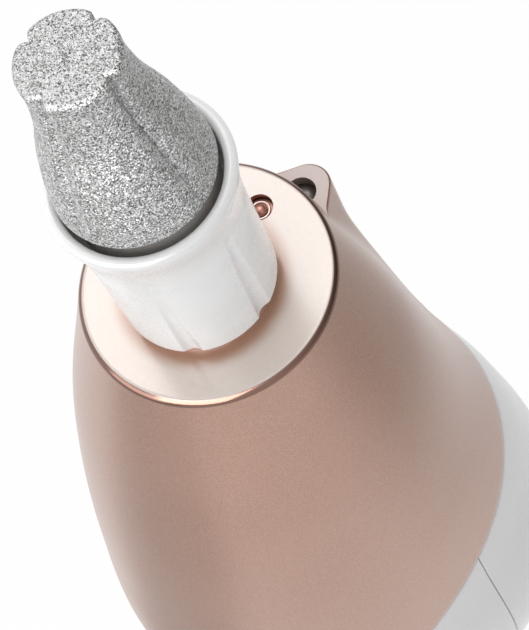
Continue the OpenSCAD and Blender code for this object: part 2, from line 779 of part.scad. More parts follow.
// ---- Motor ----
motor_wall = 0.6;
motor_boss_r = 3;
motor_foot = case_z - motor_length;
cap_t = 2;
can_foot = motor_foot + cap_t;
motor_screw_x = 5;
motor_screw_y = 2;
motor_screw_r = 0.8;
armature_r = motor_r - 3.6;
magnet_inner = motor_r - 3;
magnet_edge = 4;

module motor_can() {
    color("silver") difference() {
        union() {
            translate([0, 0, can_foot]) cylinder(r = motor_r, h = case_z - can_foot);
            translate([0, 0, case_z - eps]) cylinder(r = motor_boss_r, h = 1.5);
        }
        translate([0, 0, can_foot - 1]) cylinder(r = motor_r - motor_wall, h = case_z - can_foot);
        cylinder(r = motor_shaft_r + running, h = far);
        for (s = [-1, 1]) translate([s * motor_screw_x, -motor_screw_y, 0])
            cylinder(r = motor_screw_r + fit, h = far);
    }
}
module motor_end_cap() {
    color("black") translate([0, 0, motor_foot]) difference() {
        cylinder(r = motor_r, h = cap_t);
        translate([0, 0, 0.6]) cylinder(r = motor_shaft_r + running, h = far);
    }
}
module motor_magnets() {
    color("darkslategray") for (s = [0, 180]) rotate(s) intersection() {
        translate([0, 0, can_foot + 1])
            ring_bar(motor_r - motor_wall - press, magnet_inner, motor_length - 5);
        translate([magnet_edge, -far / 2, 0]) cube([far, far, far]);
    }
}
module motor_rotor() {
    color("chocolate") {
        translate([0, 0, motor_foot + 0.7]) cylinder(r = motor_shaft_r, h = stage_two - motor_foot - 1.1);
        translate([0, 0, can_foot + 0.3]) cylinder(r = 2.5, h = 1.9);
        translate([0, 0, can_foot + 2.5]) cylinder(r = armature_r, h = motor_length - 8);
    }
}
module motor_screws() {
    color("silver") for (s = [-1, 1]) translate([s * motor_screw_x, -motor_screw_y, case_floor])
        screw_down(1.35, 1, motor_screw_r, 4.2);
}

// ---- Chassis, cell and boards ----
chassis_w = 27.6;
chassis_foot = cell_z - 1.5;
cell_top = cell_z + cell_length;
contact_t = 0.5;
arm_w = 3.4;
cradle_w = 20;
cradle_back = cell_y + 7;
cradle_ribs = [20, 46];
arm_foot = 50;
board_t = 1.2;
board_set_back = 7.7;
board_y = well_y - board_set_back;
board_w = 18;
board_low = 16;
board_high = 53;
post_x = 7.5;
post_low = 22;
post_high = 46;
BOARD_POSTS = [[-post_x, post_low], [post_x, post_low], [-post_x, post_high], [post_x, post_high]];
post_r = 1.8;
board_screw_r = 0.8;
board_screw_l = 6;
lead_r = 0.5;
motor_lead_x = 4;
motor_lead_y = 7;
motor_lead_low = 50;
motor_lead_bend = 56;
tab_x = 8;
lead_x = tab_x + 0.2;
top_lead_z = cell_top - 8.5;
low_lead_z = cell_z + 7.5;
tab_y = cell_y - 2;

module chassis() {
    end_t = 0.9;
    color("darkgray") difference() {
        union() {
            translate([-chassis_w / 2, web_front, chassis_foot])
                cube([chassis_w, web_back - web_front, cell_top + 1.5 - chassis_foot]);
            translate([-cradle_w / 2, web_front, chassis_foot])
                cube([cradle_w, cradle_back - web_front, end_t]);
            translate([-cradle_w / 2, web_front, cell_top + contact_t + 0.1])
                cube([cradle_w, cradle_back - web_front, end_t]);
            for (z = cradle_ribs) translate([-cradle_w / 2, web_front, z])
                cube([cradle_w, cell_y - web_front, 2]);
            for (s = [-1, 1]) {
                translate([s * (chassis_w / 2 - arm_w / 2) - arm_w / 2, web_front, arm_foot])
                    cube([arm_w, ear_r - web_front, case_z - arm_foot]);
            }
            for (p = CASE_SCREWS) along_y(p[0], p[1], case_boss_r - 0.2, web_front, web_back);
            for (p = BOARD_POSTS) along_y(p[0], p[1], post_r, -board_y, web_front + eps);
        }
        translate([0, cell_y, 0]) translate([0, 0, cell_z - eps - contact_t])
            cylinder(r = cell_r + fit, h = cell_length + 2 * contact_t);
        for (p = CASE_SCREWS) along_y(p[0], p[1], case_screw_r + 0.1, -far, far);
        for (p = BOARD_POSTS) along_y(p[0], p[1], board_screw_r + fit, -board_y - 1, web_front);
        for (s = [-1, 1]) translate([s * ear_x, 0, case_z - 9]) cylinder(r = case_screw2_r + fit, h = far);
        for (z = [low_lead_z, top_lead_z]) along_y(lead_x, z, lead_r + 0.3, -far, far);
    }
}
module battery_cell() {
    color("steelblue") translate([0, cell_y, cell_z]) {
        cylinder(r = cell_r, h = cell_length - 0.6);
        cylinder(r = 2.6, h = cell_length);
    }
}
module battery_contacts() {
    color("gold") {
        translate([-3, tab_y, cell_z - contact_t - fit]) cube([tab_x + 3.4, 4, contact_t]);
        translate([tab_x, tab_y, cell_z - contact_t - fit]) cube([0.4, 4, low_lead_z + 2 - cell_z]);
        translate([-3, tab_y, cell_top + fit]) cube([tab_x + 3.4, 4, contact_t]);
        translate([tab_x, tab_y, top_lead_z - 2])
            cube([0.4, 4, cell_top + fit + contact_t - top_lead_z + 2]);
    }
}
module main_board() {
    color("seagreen") difference() {
        translate([-board_w / 2, -board_y - board_t, board_low])
            cube([board_w, board_t, board_high - board_low]);
        for (p = BOARD_POSTS) along_y(p[0], p[1], board_screw_r + 0.1, -far, far);
    }
}
module board_screws() {
    color("silver") for (p = BOARD_POSTS) translate([p[0], -board_y - board_t, p[1]]) rotate([90, 0, 0])
        screw_down(1.5, 0.9, board_screw_r, board_screw_l);
}
board_front = board_y + board_t;
switch_t = 3;
slider_l = 2.6;
slider_reach = well_y - 2.5;
// The button lies this far out of its well, so that its flat top stays just under the skin
button_t = well_depth - 0.3;

module slide_switch() {
    color("dimgray") difference() {
        translate([-3.2, -board_front - switch_t, switch_z + switch_travel / 2 - 5.5])
            cube([6.4, switch_t, 11]);
        translate([-1.2, -board_front - switch_t - 1, switch_z - slider_l / 2 - 0.3])
            cube([2.4, 2.2, slider_l + switch_travel + 0.6]);
    }
}
module switch_slider() {
    color("black") translate([-1, -slider_reach, switch_z - slider_l / 2])
        cube([2, slider_reach - board_front - switch_t + 1.1, slider_l]);
}
module switch_button() {
    color("rosybrown") {
        difference() {
            translate([-button_w / 2, -well_y - button_t, switch_z - button_l / 2])
                cube([button_w, button_t - fit, button_l]);
            for (k = [-1:1]) translate([-button_w, -well_y - button_t - 0.1, switch_z + 2.2 * k])
                rotate([0, 90, 0]) cylinder(r = 0.5, h = 2 * button_w);
        }
        translate([-stem_w / 2, -well_y - 0.1, switch_z - stem_l / 2])
            cube([stem_w, well_y + 0.1 - slider_reach, stem_l]);
    }
}
module indicator_led() {
    color("lime") translate([-0.8, -board_front - 0.6, indicator_z - 0.4]) cube([1.6, 0.6, 0.8]);
}
module indicator_lens() {
    skin_y = size_at(indicator_z, 2) - size_at(indicator_z, 3);
    color("lightyellow") along_y(0, indicator_z, indicator_r, -skin_y - 0.1, -board_front - 0.7);
}
module charge_board() {
    color("seagreen") translate([-7, port_y - port_h / 2 - board_t, handle_wall + fit])
        cube([14, board_t, chassis_foot - handle_wall - 2 * fit]);
}
module charge_port() {
    color("silver") translate([0, port_y, port_z]) {
        difference() {
            slot_bar(port_w, port_h, port_l);
            translate([0, 0, -1]) slot_bar(port_w - 0.6, port_h - 0.6, port_l);
        }
        translate([-3.3, -0.35, 0.6]) cube([6.6, 0.7, port_l - 1]);
    }
}
module port_gasket() {
    color("black") translate([0, port_y, 0.4]) difference() {
        slot_bar(port_w + 2 * gasket_wall + 2 * fit, port_h + 2 * gasket_wall + 2 * fit, handle_wall - 0.5);
        translate([0, 0, -1]) slot_bar(port_w + 2 * fit, port_h + 2 * fit, far);
    }
}

// ---- Work light ----
module light_lens() {
    color("dimgray") translate([0, -light_y, hood_top - lens_depth - lens_t])
        cylinder(r = light_hole_r - fit, h = lens_t);
}
module work_light_led() {
    foot = light_floor + light_board_t;
    color("lightyellow") translate([0, -light_y, foot])
        cylinder(r = light_hole_r - 0.35, h = hood_top - lens_depth - lens_t - 0.1 - foot);
}
module light_board() {
    color("seagreen") translate([-light_board_w / 2, -light_board_front, light_floor])
        cube([light_board_w, light_board_front - light_board_back, light_board_t]);
}

// ---- Leads ----
// A wire through points that share one x, with an 8-sided section mitred at each bend
wire_sides = 8;
function unit(v) = v / norm(v);
function wire_ring(points, i) =
    let (last = len(points) - 1,
        before = unit(points[max(i, 1)] - points[max(i, 1) - 1]),
        after = unit(points[min(i, last - 1) + 1] - points[min(i, last - 1)]),
        along = unit(before + after),
        side = cross(along, [1, 0, 0]) / (along * after))
    [for (j = [0:wire_sides - 1]) let (a = 360 * j / wire_sides)
        points[i] + lead_r * (cos(a) * [1, 0, 0] + sin(a) * side)];
module wire(points) {
    stack([for (i = [0:len(points) - 1]) wire_ring(points, i)]);
}
module motor_leads() {
    color("red") for (x = [-motor_lead_x, motor_lead_x])
        wire([[x, -board_y + fit, motor_lead_low], [x, -board_y + 1.5, motor_lead_low],
            [x, -motor_lead_y, motor_lead_bend], [x, -motor_lead_y, motor_foot - fit]]);
}
module battery_leads() {
    color("red") for (z = [low_lead_z, top_lead_z])
        wire([[lead_x, tab_y - fit, z], [lead_x, -board_y + fit, z]]);
}
module lamp_leads() {
    color("black") for (x = [-1, 1])
        wire([[x, -light_board_back - 0.6, light_floor - fit],
            [x, -light_board_back - 1.4, light_floor - 10],
            [x, -board_y - board_t / 2, board_high + 4], [x, -board_y - board_t / 2, board_high + fit]]);
}

nose_shell();
nose_screw();
handle_front_shell();
handle_back_shell();
socket_sleeve();
chassis();
gear_case();
gear_case_cover();
motor_can();
motor_end_cap();
motor_magnets();
motor_rotor();
motor_pinion();
layshaft();
compound_gear();
output_gear();
drive_shaft();
front_bearing();
rear_bush();
shaft_seal();
collar();
head_bush();
retaining_clip();
head_spindle();
head_hub();
head_core();
grit_head();
battery_cell();
battery_contacts();
main_board();
slide_switch();
switch_slider();
switch_button();
light_lens();
work_light_led();
light_board();
charge_port();
charge_board();
port_gasket();
indicator_lens();
indicator_led();
case_screws();
gear_case_screws();
motor_screws();
board_screws();
motor_leads();
battery_leads();
lamp_leads();
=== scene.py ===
"""Looks of the electric callus remover: smooth shells, collar and grit head built with numpy
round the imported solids, a procedural finish on every piece, soft studio light and the camera.
Lengths are in millimetres, and a mesh is scaled to metres when it is made. Only the lamps and
the camera's clipping are given in metres."""

import json
import math

import bmesh
import bpy
import numpy as np
from mathutils import Matrix, Vector


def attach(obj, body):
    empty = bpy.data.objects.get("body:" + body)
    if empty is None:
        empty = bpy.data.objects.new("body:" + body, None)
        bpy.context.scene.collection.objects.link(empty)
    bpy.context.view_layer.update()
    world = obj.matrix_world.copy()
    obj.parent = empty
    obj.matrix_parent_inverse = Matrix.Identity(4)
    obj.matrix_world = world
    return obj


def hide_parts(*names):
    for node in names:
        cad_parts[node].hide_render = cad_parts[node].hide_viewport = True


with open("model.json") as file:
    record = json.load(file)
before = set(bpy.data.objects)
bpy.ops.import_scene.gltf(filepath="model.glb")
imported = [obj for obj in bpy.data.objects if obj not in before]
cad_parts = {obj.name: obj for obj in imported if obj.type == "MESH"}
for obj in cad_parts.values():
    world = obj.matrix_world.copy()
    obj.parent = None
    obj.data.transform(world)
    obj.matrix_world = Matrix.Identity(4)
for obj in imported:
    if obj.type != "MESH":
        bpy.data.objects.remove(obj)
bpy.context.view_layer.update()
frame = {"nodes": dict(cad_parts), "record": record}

MM = 0.001
TURN = 2 * math.pi

# ---------------------------------------------------------------- sizes
# most are the same as in the part's source, and the others shape what is finer than the solids
FACE_Z = 106.0
FACE_R = 13.5
# height, half width, half depth and centre towards the back of each section of the body
SECTIONS = np.array(
    [
        [0, 16, 17, -1],
        [22, 22.5, 24.5, -2.5],
        [44, 22, 26.5, 1],
        [64, 21, 23, 2],
        [88, 18.2, 18.2, 0.8],
        [FACE_Z, FACE_R, FACE_R, -0.6],
    ]
)
BODY_POWER = 2.15
ROUND_FROM = 84
RIM_ROUND = 0.6
TAIL_ROUND = 2.0
NOSE_WALL = 2.0
HANDLE_WALL = 2.2
EDGE_Z = 47.4
EDGE_FALL = 0.327
SEAM_Y = -4.0
EDGE_ROUND = 0.28
SEAM_GAP = 0.02
EDGE_GAP = 0.03
HOOD_TOP = 103.0
HOOD_Y = -15.5
HOOD_R = 2.5
HOOD_ROOT = (4.6, -13.2)
HOOD_TANGENT = math.radians(38)
HOOD_ROUND = 0.3
HOOD_SPAN = 0.62
HOOD_FILLET, FILLET_GROWTH = 0.5, 0.17
LIGHT_Y = -14.5
LIGHT_HOLE_R = 1.65
LIGHT_FLOOR = 95.5
LENS_TOP = 102.1
LENS_T = 0.8
LENS_CROWN_R, LENS_CROWN, LENS_ARC = 1.7, 0.55, 1.0
SCREW_AT = (0.9, -9.9)
RECESS_R = 1.5
RECESS_DEPTH = 1.2
# the screw in the nose face: heights are above the floor of its recess
SCREW_DOME_R, SCREW_DOME_RISE, SCREW_DOME_Z = 0.72, 0.6, 0.42
SCREW_RING_R, SCREW_RING_Z, SCREW_RING_SIZE = 0.97, 0.45, (0.13, 0.17)
SCREW_FLAT, SCREW_HEAD_R, SCREW_SHANK_R = 0.36, 1.38, 0.8
SCREW_LIFT = 0.001
NOSE_BOSS_R, NOSE_BOSS_DEPTH = 2, 8
NOSE_SHANK_R, NOSE_SHANK_DEPTH = 0.9, 10
SEAT_R = 7.4
SEAT_TOP = 107.6
BORE_R = 6.45
INNER_TOP = 104.0
COLLAR_RIM_Z = 130.0
COLLAR_FOOT_R = 8.2
COLLAR_RIM_R = 9.6
# height and radius of the collar's outside, then radius and height down its inside
COLLAR_KNOTS = [(SEAT_TOP, COLLAR_FOOT_R), (115, 8.32), (121, 8.44), (124.5, 8.64)]
COLLAR_KNOTS += [(127, 9.0), (128.8, 9.4), (COLLAR_RIM_Z, COLLAR_RIM_R)]
COLLAR_INSIDE = [(8.2, 129), (8.1, 127.4), (7.95, 125.4), (7.8, 125.0), (6.95, 124.5)]
COLLAR_INSIDE += [(6.6, 122), (6.45, 119.0), (5.0, 119.0), (4.95, 118.95), (4.95, 116.05)]
COLLAR_INSIDE += [(5.0, 116.0), (6.45, 116.0), (6.45, 108.0), (6.75, SEAT_TOP)]
COLLAR_FOOT_ROUND = 0.3
LIP_ROLL = 0.675
FLUTES = 6
FLUTE_ANGLE = math.radians(9)
FLUTE_R = 1.3
FLUTE_DEPTH = 0.5
# a flute leans out with the wall, bends out more higher up and fades under the lip
FLUTE_LEAN, FLUTE_BEND = math.radians(1.6), 0.0012
FLUTE_FADE_Z, FLUTE_FADE = 124.0, 4.0
FLUTE_EDGE = 0.12
FLUTE_REACH = 0.3
HEAD_BASE = 131.6
HEAD_TIP = 152.9
HEAD_KNOTS = (8.15, 7.2, 5.5, 5.1)
TIP_FLARE = 0.8
HEAD_ROUND = 0.6
HEAD_FOOT_ROUND = 0.25
# radius and height up the inside of the head
HEAD_INSIDE = [(6.6, HEAD_BASE), (6.25, HEAD_BASE + 0.5), (5.0, 139), (3.4, 146)]
HEAD_INSIDE += [(3.2, 149), (3.2, 150.95), (0, 150.95)]
GROOVES = 4
GROOVE_DEPTH = 0.5
GROOVE_POWER = 8
GROOVE_ANGLE = math.radians(9)
CREASE_DEPTH = 0.35
CREASE_POWER = 48
GROOVE_FADE = 0.7
GRAIN = 0.12
GRAIN_RELIEF, GRAIN_LIMIT = 0.012, 2.4
SWITCH_Z = 38.0
SWITCH_TRAVEL = 4.0
# the thumb slide: its width and height, the power of its outline, the share of it that rounds
# over, how far it stands out of its well, and its ribs
BUTTON = (7.4, 8.0)
BUTTON_POWER = 5
BUTTON_ROUND = 0.06
BUTTON_RISE, BUTTON_CROWN, BUTTON_FALL, BUTTON_SKIRT = 1.42, 0.08, 3.0, 0.05
RIB, RIB_PITCH, RIB_POWER = 0.14, 1.75, 3
RIB_END, RIB_FADE = 0.86, 0.12
# the well that the slide runs in, and the pad behind the skin that carries it
WELL_DEPTH = 2.0
WELL_GAP = 0.3
WELL_CORNER = 1.2
PAD_T = 2.0
PAD_RIM = 1.5
PAD_UNDER = 1.35
STEM_HALF, STEM_LOW, STEM_HIGH = 1.4, 1.9, 5.9
PORT_Y = 5.0
PORT_MOUTH = (10.74, 5.0)
CASE_SCREWS = ((-12.5, 13), (12.5, 13), (-15.5, 36), (15.5, 36))
SCREW_SEAT = 8.0
CASE_BOSS_R, CASE_SHANK_R, CASE_HEAD_R = 3, 1.1, 2.1
CASE_BOSS_START = 1.4
BOSS_UNDER = 1
INDICATOR_Z = 26.0
INDICATOR_R = 1.05


# ---------------------------------------------------------------- curves and surfaces
def smooth_step(t):
    """3t^2 - 2t^3 with t held between 0 and 1."""
    t = np.clip(t, 0, 1)
    return t * t * (3 - 2 * t)


def hermite(t, gap, start, end, slope, end_slope):
    """Cubic from start to end while t goes from 0 to 1 over a gap, with a slope at each end."""
    return (
        (2 * t**3 - 3 * t**2 + 1) * start
        + (t**3 - 2 * t**2 + t) * gap * slope
        + (3 * t**2 - 2 * t**3) * end
        + (t**3 - t**2) * gap * end_slope
    )


def section_slopes():
    """Slope of each size at each section: the mean of the rises on both sides, each weighted
    by the other side's gap, and the one rise there is at the two ends."""
    gap = np.diff(SECTIONS[:, 0])[:, None]
    rise = np.diff(SECTIONS, axis=0) / gap
    inner = (rise[:-1] * gap[1:] + rise[1:] * gap[:-1]) / (gap[1:] + gap[:-1])
    return np.vstack([rise[:1], inner, rise[-1:]])


SLOPES = section_slopes()


def size_at(z, column):
    """Size of the body's section at height z, on the cubic Hermite curve through the sections."""
    z = np.asarray(z, float)
    i = np.clip(np.searchsorted(SECTIONS[:, 0], z, side="right") - 1, 0, len(SECTIONS) - 2)
    gap = SECTIONS[i + 1, 0] - SECTIONS[i, 0]
    t = (z - SECTIONS[i, 0]) / gap
    sizes, slopes = SECTIONS[:, column], SLOPES[:, column]
    return hermite(t, gap, sizes[i], sizes[i + 1], slopes[i], slopes[i + 1])


def drawn_in(radius, distance):
    """How far a rounded edge of that radius draws a surface in, at a distance from the end:
    radius minus the root of radius squared minus (radius - distance) squared."""
    d = np.clip(radius - np.asarray(distance, float), 0, radius)
    return radius - np.sqrt(radius * radius - d * d)


def smooth_max(a, b, k):
    """Larger of a and b, with the corner where they cross filled over a width k."""
    h = np.clip(0.5 + 0.5 * (b - a) / k, 0, 1)
    return a * (1 - h) + b * h + k * h * (1 - h)


def power_at(z):
    """Power of the section: BODY_POWER over the body, easing to a true circle at the face."""
    return BODY_POWER - (BODY_POWER - 2) * smooth_step((z - ROUND_FROM) / (FACE_Z - ROUND_FROM))


def body_radius(angle, z, inset=0.0):
    """Distance from the head axis to the body's skin in direction angle at height z. The
    section is |x/width|^p + |(y - centre)/depth|^p = 1, solved for the distance by halving."""
    angle, z = np.broadcast_arrays(np.asarray(angle, float), np.asarray(z, float))
    width, depth, centre = (size_at(z, k) for k in (1, 2, 3))
    width, depth, power = width - inset, depth - inset, power_at(z)
    low, high = np.zeros(angle.shape), np.full(angle.shape, 45.0)
    across, along = np.cos(angle), np.sin(angle)
    for _ in range(36):
        middle = (low + high) / 2
        f = (np.abs(middle * across) / width) ** power
        f += (np.abs(middle * along - centre) / depth) ** power
        low, high = np.where(f < 1, middle, low), np.where(f < 1, high, middle)
    return (low + high) / 2


def hood_radius(angle):
    """Distance from the head axis to the hood's outline in direction angle. The outline is an
    arc round the light with a straight flank on each side, carried on into the body."""
    turn = np.linspace(-math.pi / 2, -HOOD_TANGENT, 40)
    arc = np.stack([HOOD_R * np.cos(turn), HOOD_Y + HOOD_R * np.sin(turn)], 1)
    root = np.array(HOOD_ROOT)
    flank = arc[-1] + np.linspace(0.05, 2.6, 40)[:, None] * (root - arc[-1])
    side = np.vstack([arc, flank])
    away = np.arctan2(side[:, 1], side[:, 0]) + math.pi / 2
    offset = np.abs((np.asarray(angle) + math.pi / 2 + math.pi) % TURN - math.pi)
    return np.interp(offset, away, np.hypot(side[:, 0], side[:, 1]), right=0)


def nose_radius(angle, z):
    """Body and hood joined. The fillet between them grows from the hood's top downwards."""
    below = np.clip(HOOD_TOP - z, 0, 40)
    fillet = HOOD_FILLET + FILLET_GROWTH * below
    return smooth_max(body_radius(angle, z), hood_radius(angle), fillet)


def edge_height(angle, inset=0.0):
    """Height of the slanted edge between nose and handle in direction angle."""
    z = np.full(np.shape(angle), EDGE_Z)
    for _ in range(8):
        z = EDGE_Z - EDGE_FALL * body_radius(angle, z, inset) * np.sin(angle)
    return z


def polar(angle, radius, z):
    """Points at a distance from the head axis, as rows of x, y, z."""
    angle, radius, z = np.broadcast_arrays(angle, radius, z)
    return np.stack([radius * np.cos(angle), radius * np.sin(angle), z], -1)


def near_edge(round_r, n=5):
    """Distances from an edge at which a rounding of that radius gets its rows."""
    return round_r * (1 - np.cos(np.linspace(0, math.pi / 2, n)))


# ---------------------------------------------------------------- meshes
def quads(rows, cols, closed_rows, closed_cols, first=0):
    """Faces of a grid of rows by cols points; a closed direction joins its last to its first."""
    i = np.arange(rows if closed_rows else rows - 1)[:, None]
    j = np.arange(cols if closed_cols else cols - 1)[None, :]
    up, on = (i + 1) % rows, (j + 1) % cols
    faces = np.stack([i * cols + j, i * cols + on, up * cols + on, up * cols + j], -1)
    return faces.reshape(-1, 4) + first


def make(name, points, faces, angle=35):
    """An object from points in millimetres. Doubled points are merged, faces turned outwards,
    and edges sharper than angle stay crisp."""
    mesh = bpy.data.meshes.new(name)
    points = np.asarray(points).reshape(-1, 3) * MM
    mesh.from_pydata(points.tolist(), [], np.asarray(faces).tolist())
    return tidy(bpy.data.objects.new(name, mesh), angle)


def tidy(piece, angle=35):
    """Merges doubled points, turns the faces outwards, sets smooth shading and puts the piece
    in the scene if it isn't there yet."""
    work = bmesh.new()
    work.from_mesh(piece.data)
    bmesh.ops.remove_doubles(work, verts=work.verts, dist=2e-7)
    bmesh.ops.dissolve_degenerate(work, edges=work.edges, dist=1e-7)
    bmesh.ops.recalc_face_normals(work, faces=work.faces)
    work.to_mesh(piece.data)
    work.free()
    piece.data.polygons.foreach_set("use_smooth", np.ones(len(piece.data.polygons), bool))
    piece.data.set_sharp_from_angle(angle=math.radians(angle))
    if piece.name not in bpy.context.scene.collection.objects:
        bpy.context.scene.collection.objects.link(piece)
    return piece


def sweep(name, rows, closed_rows=True, angle=35):
    """A solid through a stack of rings. The first and last ring of an open stack are points."""
    rows = np.asarray(rows)
    return make(name, rows, quads(*rows.shape[:2], closed_rows, True), angle)


def lathe(name, profile, cols, centre=(0, 0)):
    """A profile of radius and height pairs turned round a vertical line."""
    profile = np.asarray(profile, float)
    turn = np.linspace(0, TURN, cols, endpoint=False)[None, :]
    rows = polar(turn, profile[:, :1], profile[:, 1:]) + np.array([centre[0], centre[1], 0])
    return sweep(name, rows, closed_rows=False)


def rod(name, start, end, radius, cols=48):
    """A closed round bar from start to end."""
    start, end = Vector(start), Vector(end)
    length = (end - start).length
    bar = lathe(name, [(0, 0), (radius, 0), (radius, length), (0, length)], cols)
    turned = (end - start).to_track_quat("Z", "Y").to_matrix().to_4x4()
    bar.data.transform(Matrix.Translation(start * MM) @ turned)
    return bar


def block(name, low, high):
    """A closed box between two corners."""
    x, y, z = (np.array([low[k], high[k]]) for k in range(3))
    ring = [(x[0], y[0]), (x[1], y[0]), (x[1], y[1]), (x[0], y[1])]
    points = [(a, b, c) for c in z for a, b in ring]
    faces = [(3, 2, 1, 0), (4, 5, 6, 7), (0, 1, 5, 4), (1, 2, 6, 5), (2, 3, 7, 6), (3, 0, 4, 7)]
    return make(name, points, faces)


def slot_bar(name, width, depth, z0, z1, centre_y):
    """An upright bar from z0 to z1 whose section is a slot along X with round ends."""
    turn = np.linspace(-math.pi / 2, math.pi / 2, 16)
    round_x = (width - depth) / 2 + depth / 2 * np.cos(turn)
    right = np.stack([round_x, depth / 2 * np.sin(turn)], 1)
    ring = np.vstack([right, -right]) + [0, centre_y]
    middle = np.zeros_like(ring) + [0, centre_y]
    stack = ((middle, z0), (ring, z0), (ring, z1), (middle, z1))
    rows = [np.c_[r, np.full(len(r), z)] for r, z in stack]
    return sweep(name, rows, closed_rows=False)


def combine(piece, tool, operation="DIFFERENCE"):
    """Cuts tool out of piece, or adds it with UNION, for good. The tool is used up."""
    step = piece.modifiers.new("combine", "BOOLEAN")
    step.object, step.operation, step.solver = tool, operation, "EXACT"
    bpy.context.view_layer.update()
    graph = bpy.context.evaluated_depsgraph_get()
    mesh = bpy.data.meshes.new_from_object(piece.evaluated_get(graph))
    old, piece.data = piece.data, mesh
    piece.modifiers.clear()
    bpy.data.meshes.remove(old)
    mesh.name = piece.name
    bpy.data.objects.remove(tool)
    return tidy(piece)


# ---------------------------------------------------------------- finishes
class Value:
    """A shader socket. Sums on it add Math nodes."""

    def __init__(self, tree, socket):
        self.tree, self.socket = tree, socket

    def math(self, operation, *others, swap=False):
        node = self.tree.nodes.new("ShaderNodeMath")
        node.operation = operation
        terms = [self, *others]
        for slot, term in zip(node.inputs, terms[::-1] if swap else terms):
            feed(self.tree, slot, term)
        return Value(self.tree, node.outputs[0])

    def __add__(self, other):
        return self.math("ADD", other)

    def __sub__(self, other):
        return self.math("SUBTRACT", other)

    def __rsub__(self, other):
        return self.math("SUBTRACT", other, swap=True)

    def __mul__(self, other):
        return self.math("MULTIPLY", other)

    def __truediv__(self, other):
        return self.math("DIVIDE", other)

    def __pow__(self, other):
        return self.math("POWER", other)

    def clamp(self):
        node = self.tree.nodes.new("ShaderNodeClamp")
        feed(self.tree, node.inputs[0], self)
        return Value(self.tree, node.outputs[0])

    __radd__ = __add__


def away_from(x, y, at=(0, 0)):
    """Distance of x, y from the point at."""
    return ((x - at[0]) ** 2 + (y - at[1]) ** 2) ** 0.5


def feed(tree, slot, value):
    """Links a Value to a socket, or sets a plain number, colour or vector on it."""
    if isinstance(value, Value):
        tree.links.new(value.socket, slot)
    elif isinstance(value, (tuple, list)) and len(value) == 3 and len(slot.default_value) == 4:
        slot.default_value = (*value, 1)
    else:
        slot.default_value = value


class Finish:
    """A material on one Principled shader, with short ways to its texture nodes."""

    def __init__(self, name, **plain):
        self.material = bpy.data.materials.new(name)
        self.material.use_nodes = True
        self.tree = self.material.node_tree
        self.tree.nodes.clear()
        self.out = self.tree.nodes.new("ShaderNodeOutputMaterial")
        self.shader = self.tree.nodes.new("ShaderNodeBsdfPrincipled")
        self.tree.links.new(self.shader.outputs[0], self.out.inputs[0])
        self.set(**plain)

    def set(self, **values):
        """Sets shader sockets: base_color is the socket Base Color, and so on."""
        for key, value in values.items():
            slot = self.shader.inputs[key.replace("_", " ").title().replace("Ior", "IOR")]
            feed(self.tree, slot, value)
        return self

    def node(self, kind, settings=None, inputs=None, output=0):
        node = self.tree.nodes.new("ShaderNode" + kind)
        for key, value in (settings or {}).items():
            setattr(node, key, value)
        for key, value in (inputs or {}).items():
            feed(self.tree, node.inputs[key], value)
        return Value(self.tree, node.outputs[output])

    def place(self):
        """Object coordinates, in metres."""
        return self.node("TexCoord", output="Object")

    def split(self, vector):
        """x, y and z of a vector."""
        node = self.node("SeparateXYZ", inputs={0: vector}).socket.node
        return [Value(self.tree, socket) for socket in node.outputs]

    def axes(self):
        """x, y and z of the object coordinates in millimetres."""
        return [axis * (1 / MM) for axis in self.split(self.place())]

    def noise(self, size, detail=2):
        """Noise from 0 to 1 with features of about size millimetres."""
        inputs = {"Vector": self.place(), "Scale": 1 / MM / size, "Detail": detail}
        return self.node("TexNoise", inputs=inputs)

    def mix(self, factor, a, b):
        """Colour between a and b."""
        made = self.tree.nodes.new("ShaderNodeMix")
        made.data_type = "RGBA"
        for index, value in ((0, factor), (6, a), (7, b)):
            feed(self.tree, made.inputs[index], value)
        return Value(self.tree, made.outputs[2])

    def between(self, value, low, high):
        """0 below low and 1 above high, with a soft step."""
        inputs = {"Value": value, "From Min": low, "From Max": high}
        return self.node("MapRange", {"interpolation_type": "SMOOTHSTEP"}, inputs)

    def ramp(self, value, stops):
        """Ramp of greys, with stops of position and grey."""
        node = self.tree.nodes.new("ShaderNodeValToRGB")
        band = node.color_ramp
        while len(band.elements) < len(stops):
            band.elements.new(0.5)
        for element, (at, grey) in zip(band.elements, stops):
            element.position = at
            element.color = (grey, grey, grey, 1)
        feed(self.tree, node.inputs[0], value)
        return Value(self.tree, node.outputs[0])

    def bump(self, height, depth):
        """Normal from a height of 0 to 1 that stands for 0 to depth millimetres."""
        return self.node("Bump", inputs={"Height": height, "Distance": depth * MM})


def moulded(name, colour, rough, grain=0.12, depth=0.004, vary=0.06, **more):
    """Moulded plastic: slow tone changes, a fine spark-eroded grain and patchy gloss."""
    f = Finish(name, **more)
    slow, fine = f.noise(9, 3), f.noise(grain)
    dark = tuple(c * (1 - vary) for c in colour)
    light = tuple(min(1, c * (1 + vary)) for c in colour)
    f.set(base_color=f.mix(slow, dark, light), normal=f.bump(fine, depth))
    f.set(roughness=rough + (slow - 0.5) * 0.08 + (fine - 0.5) * 0.06)
    return f.material


def turned(name, colour, rough, pitch=0.16):
    """Machined metal: rings round Z from the tool, with slow stains."""
    f = Finish(name, metallic=1.0)
    tool = {"W": f.axes()[2], "Scale": 1 / pitch, "Detail": 2}
    rings = f.node("TexNoise", {"noise_dimensions": "1D"}, tool)
    dark = tuple(c * 0.9 for c in colour)
    f.set(base_color=f.mix(f.noise(4) * 0.5 + rings * 0.5, dark, colour))
    f.set(roughness=rough + (rings - 0.5) * 0.16, normal=f.bump(rings, 0.004))
    return f.material


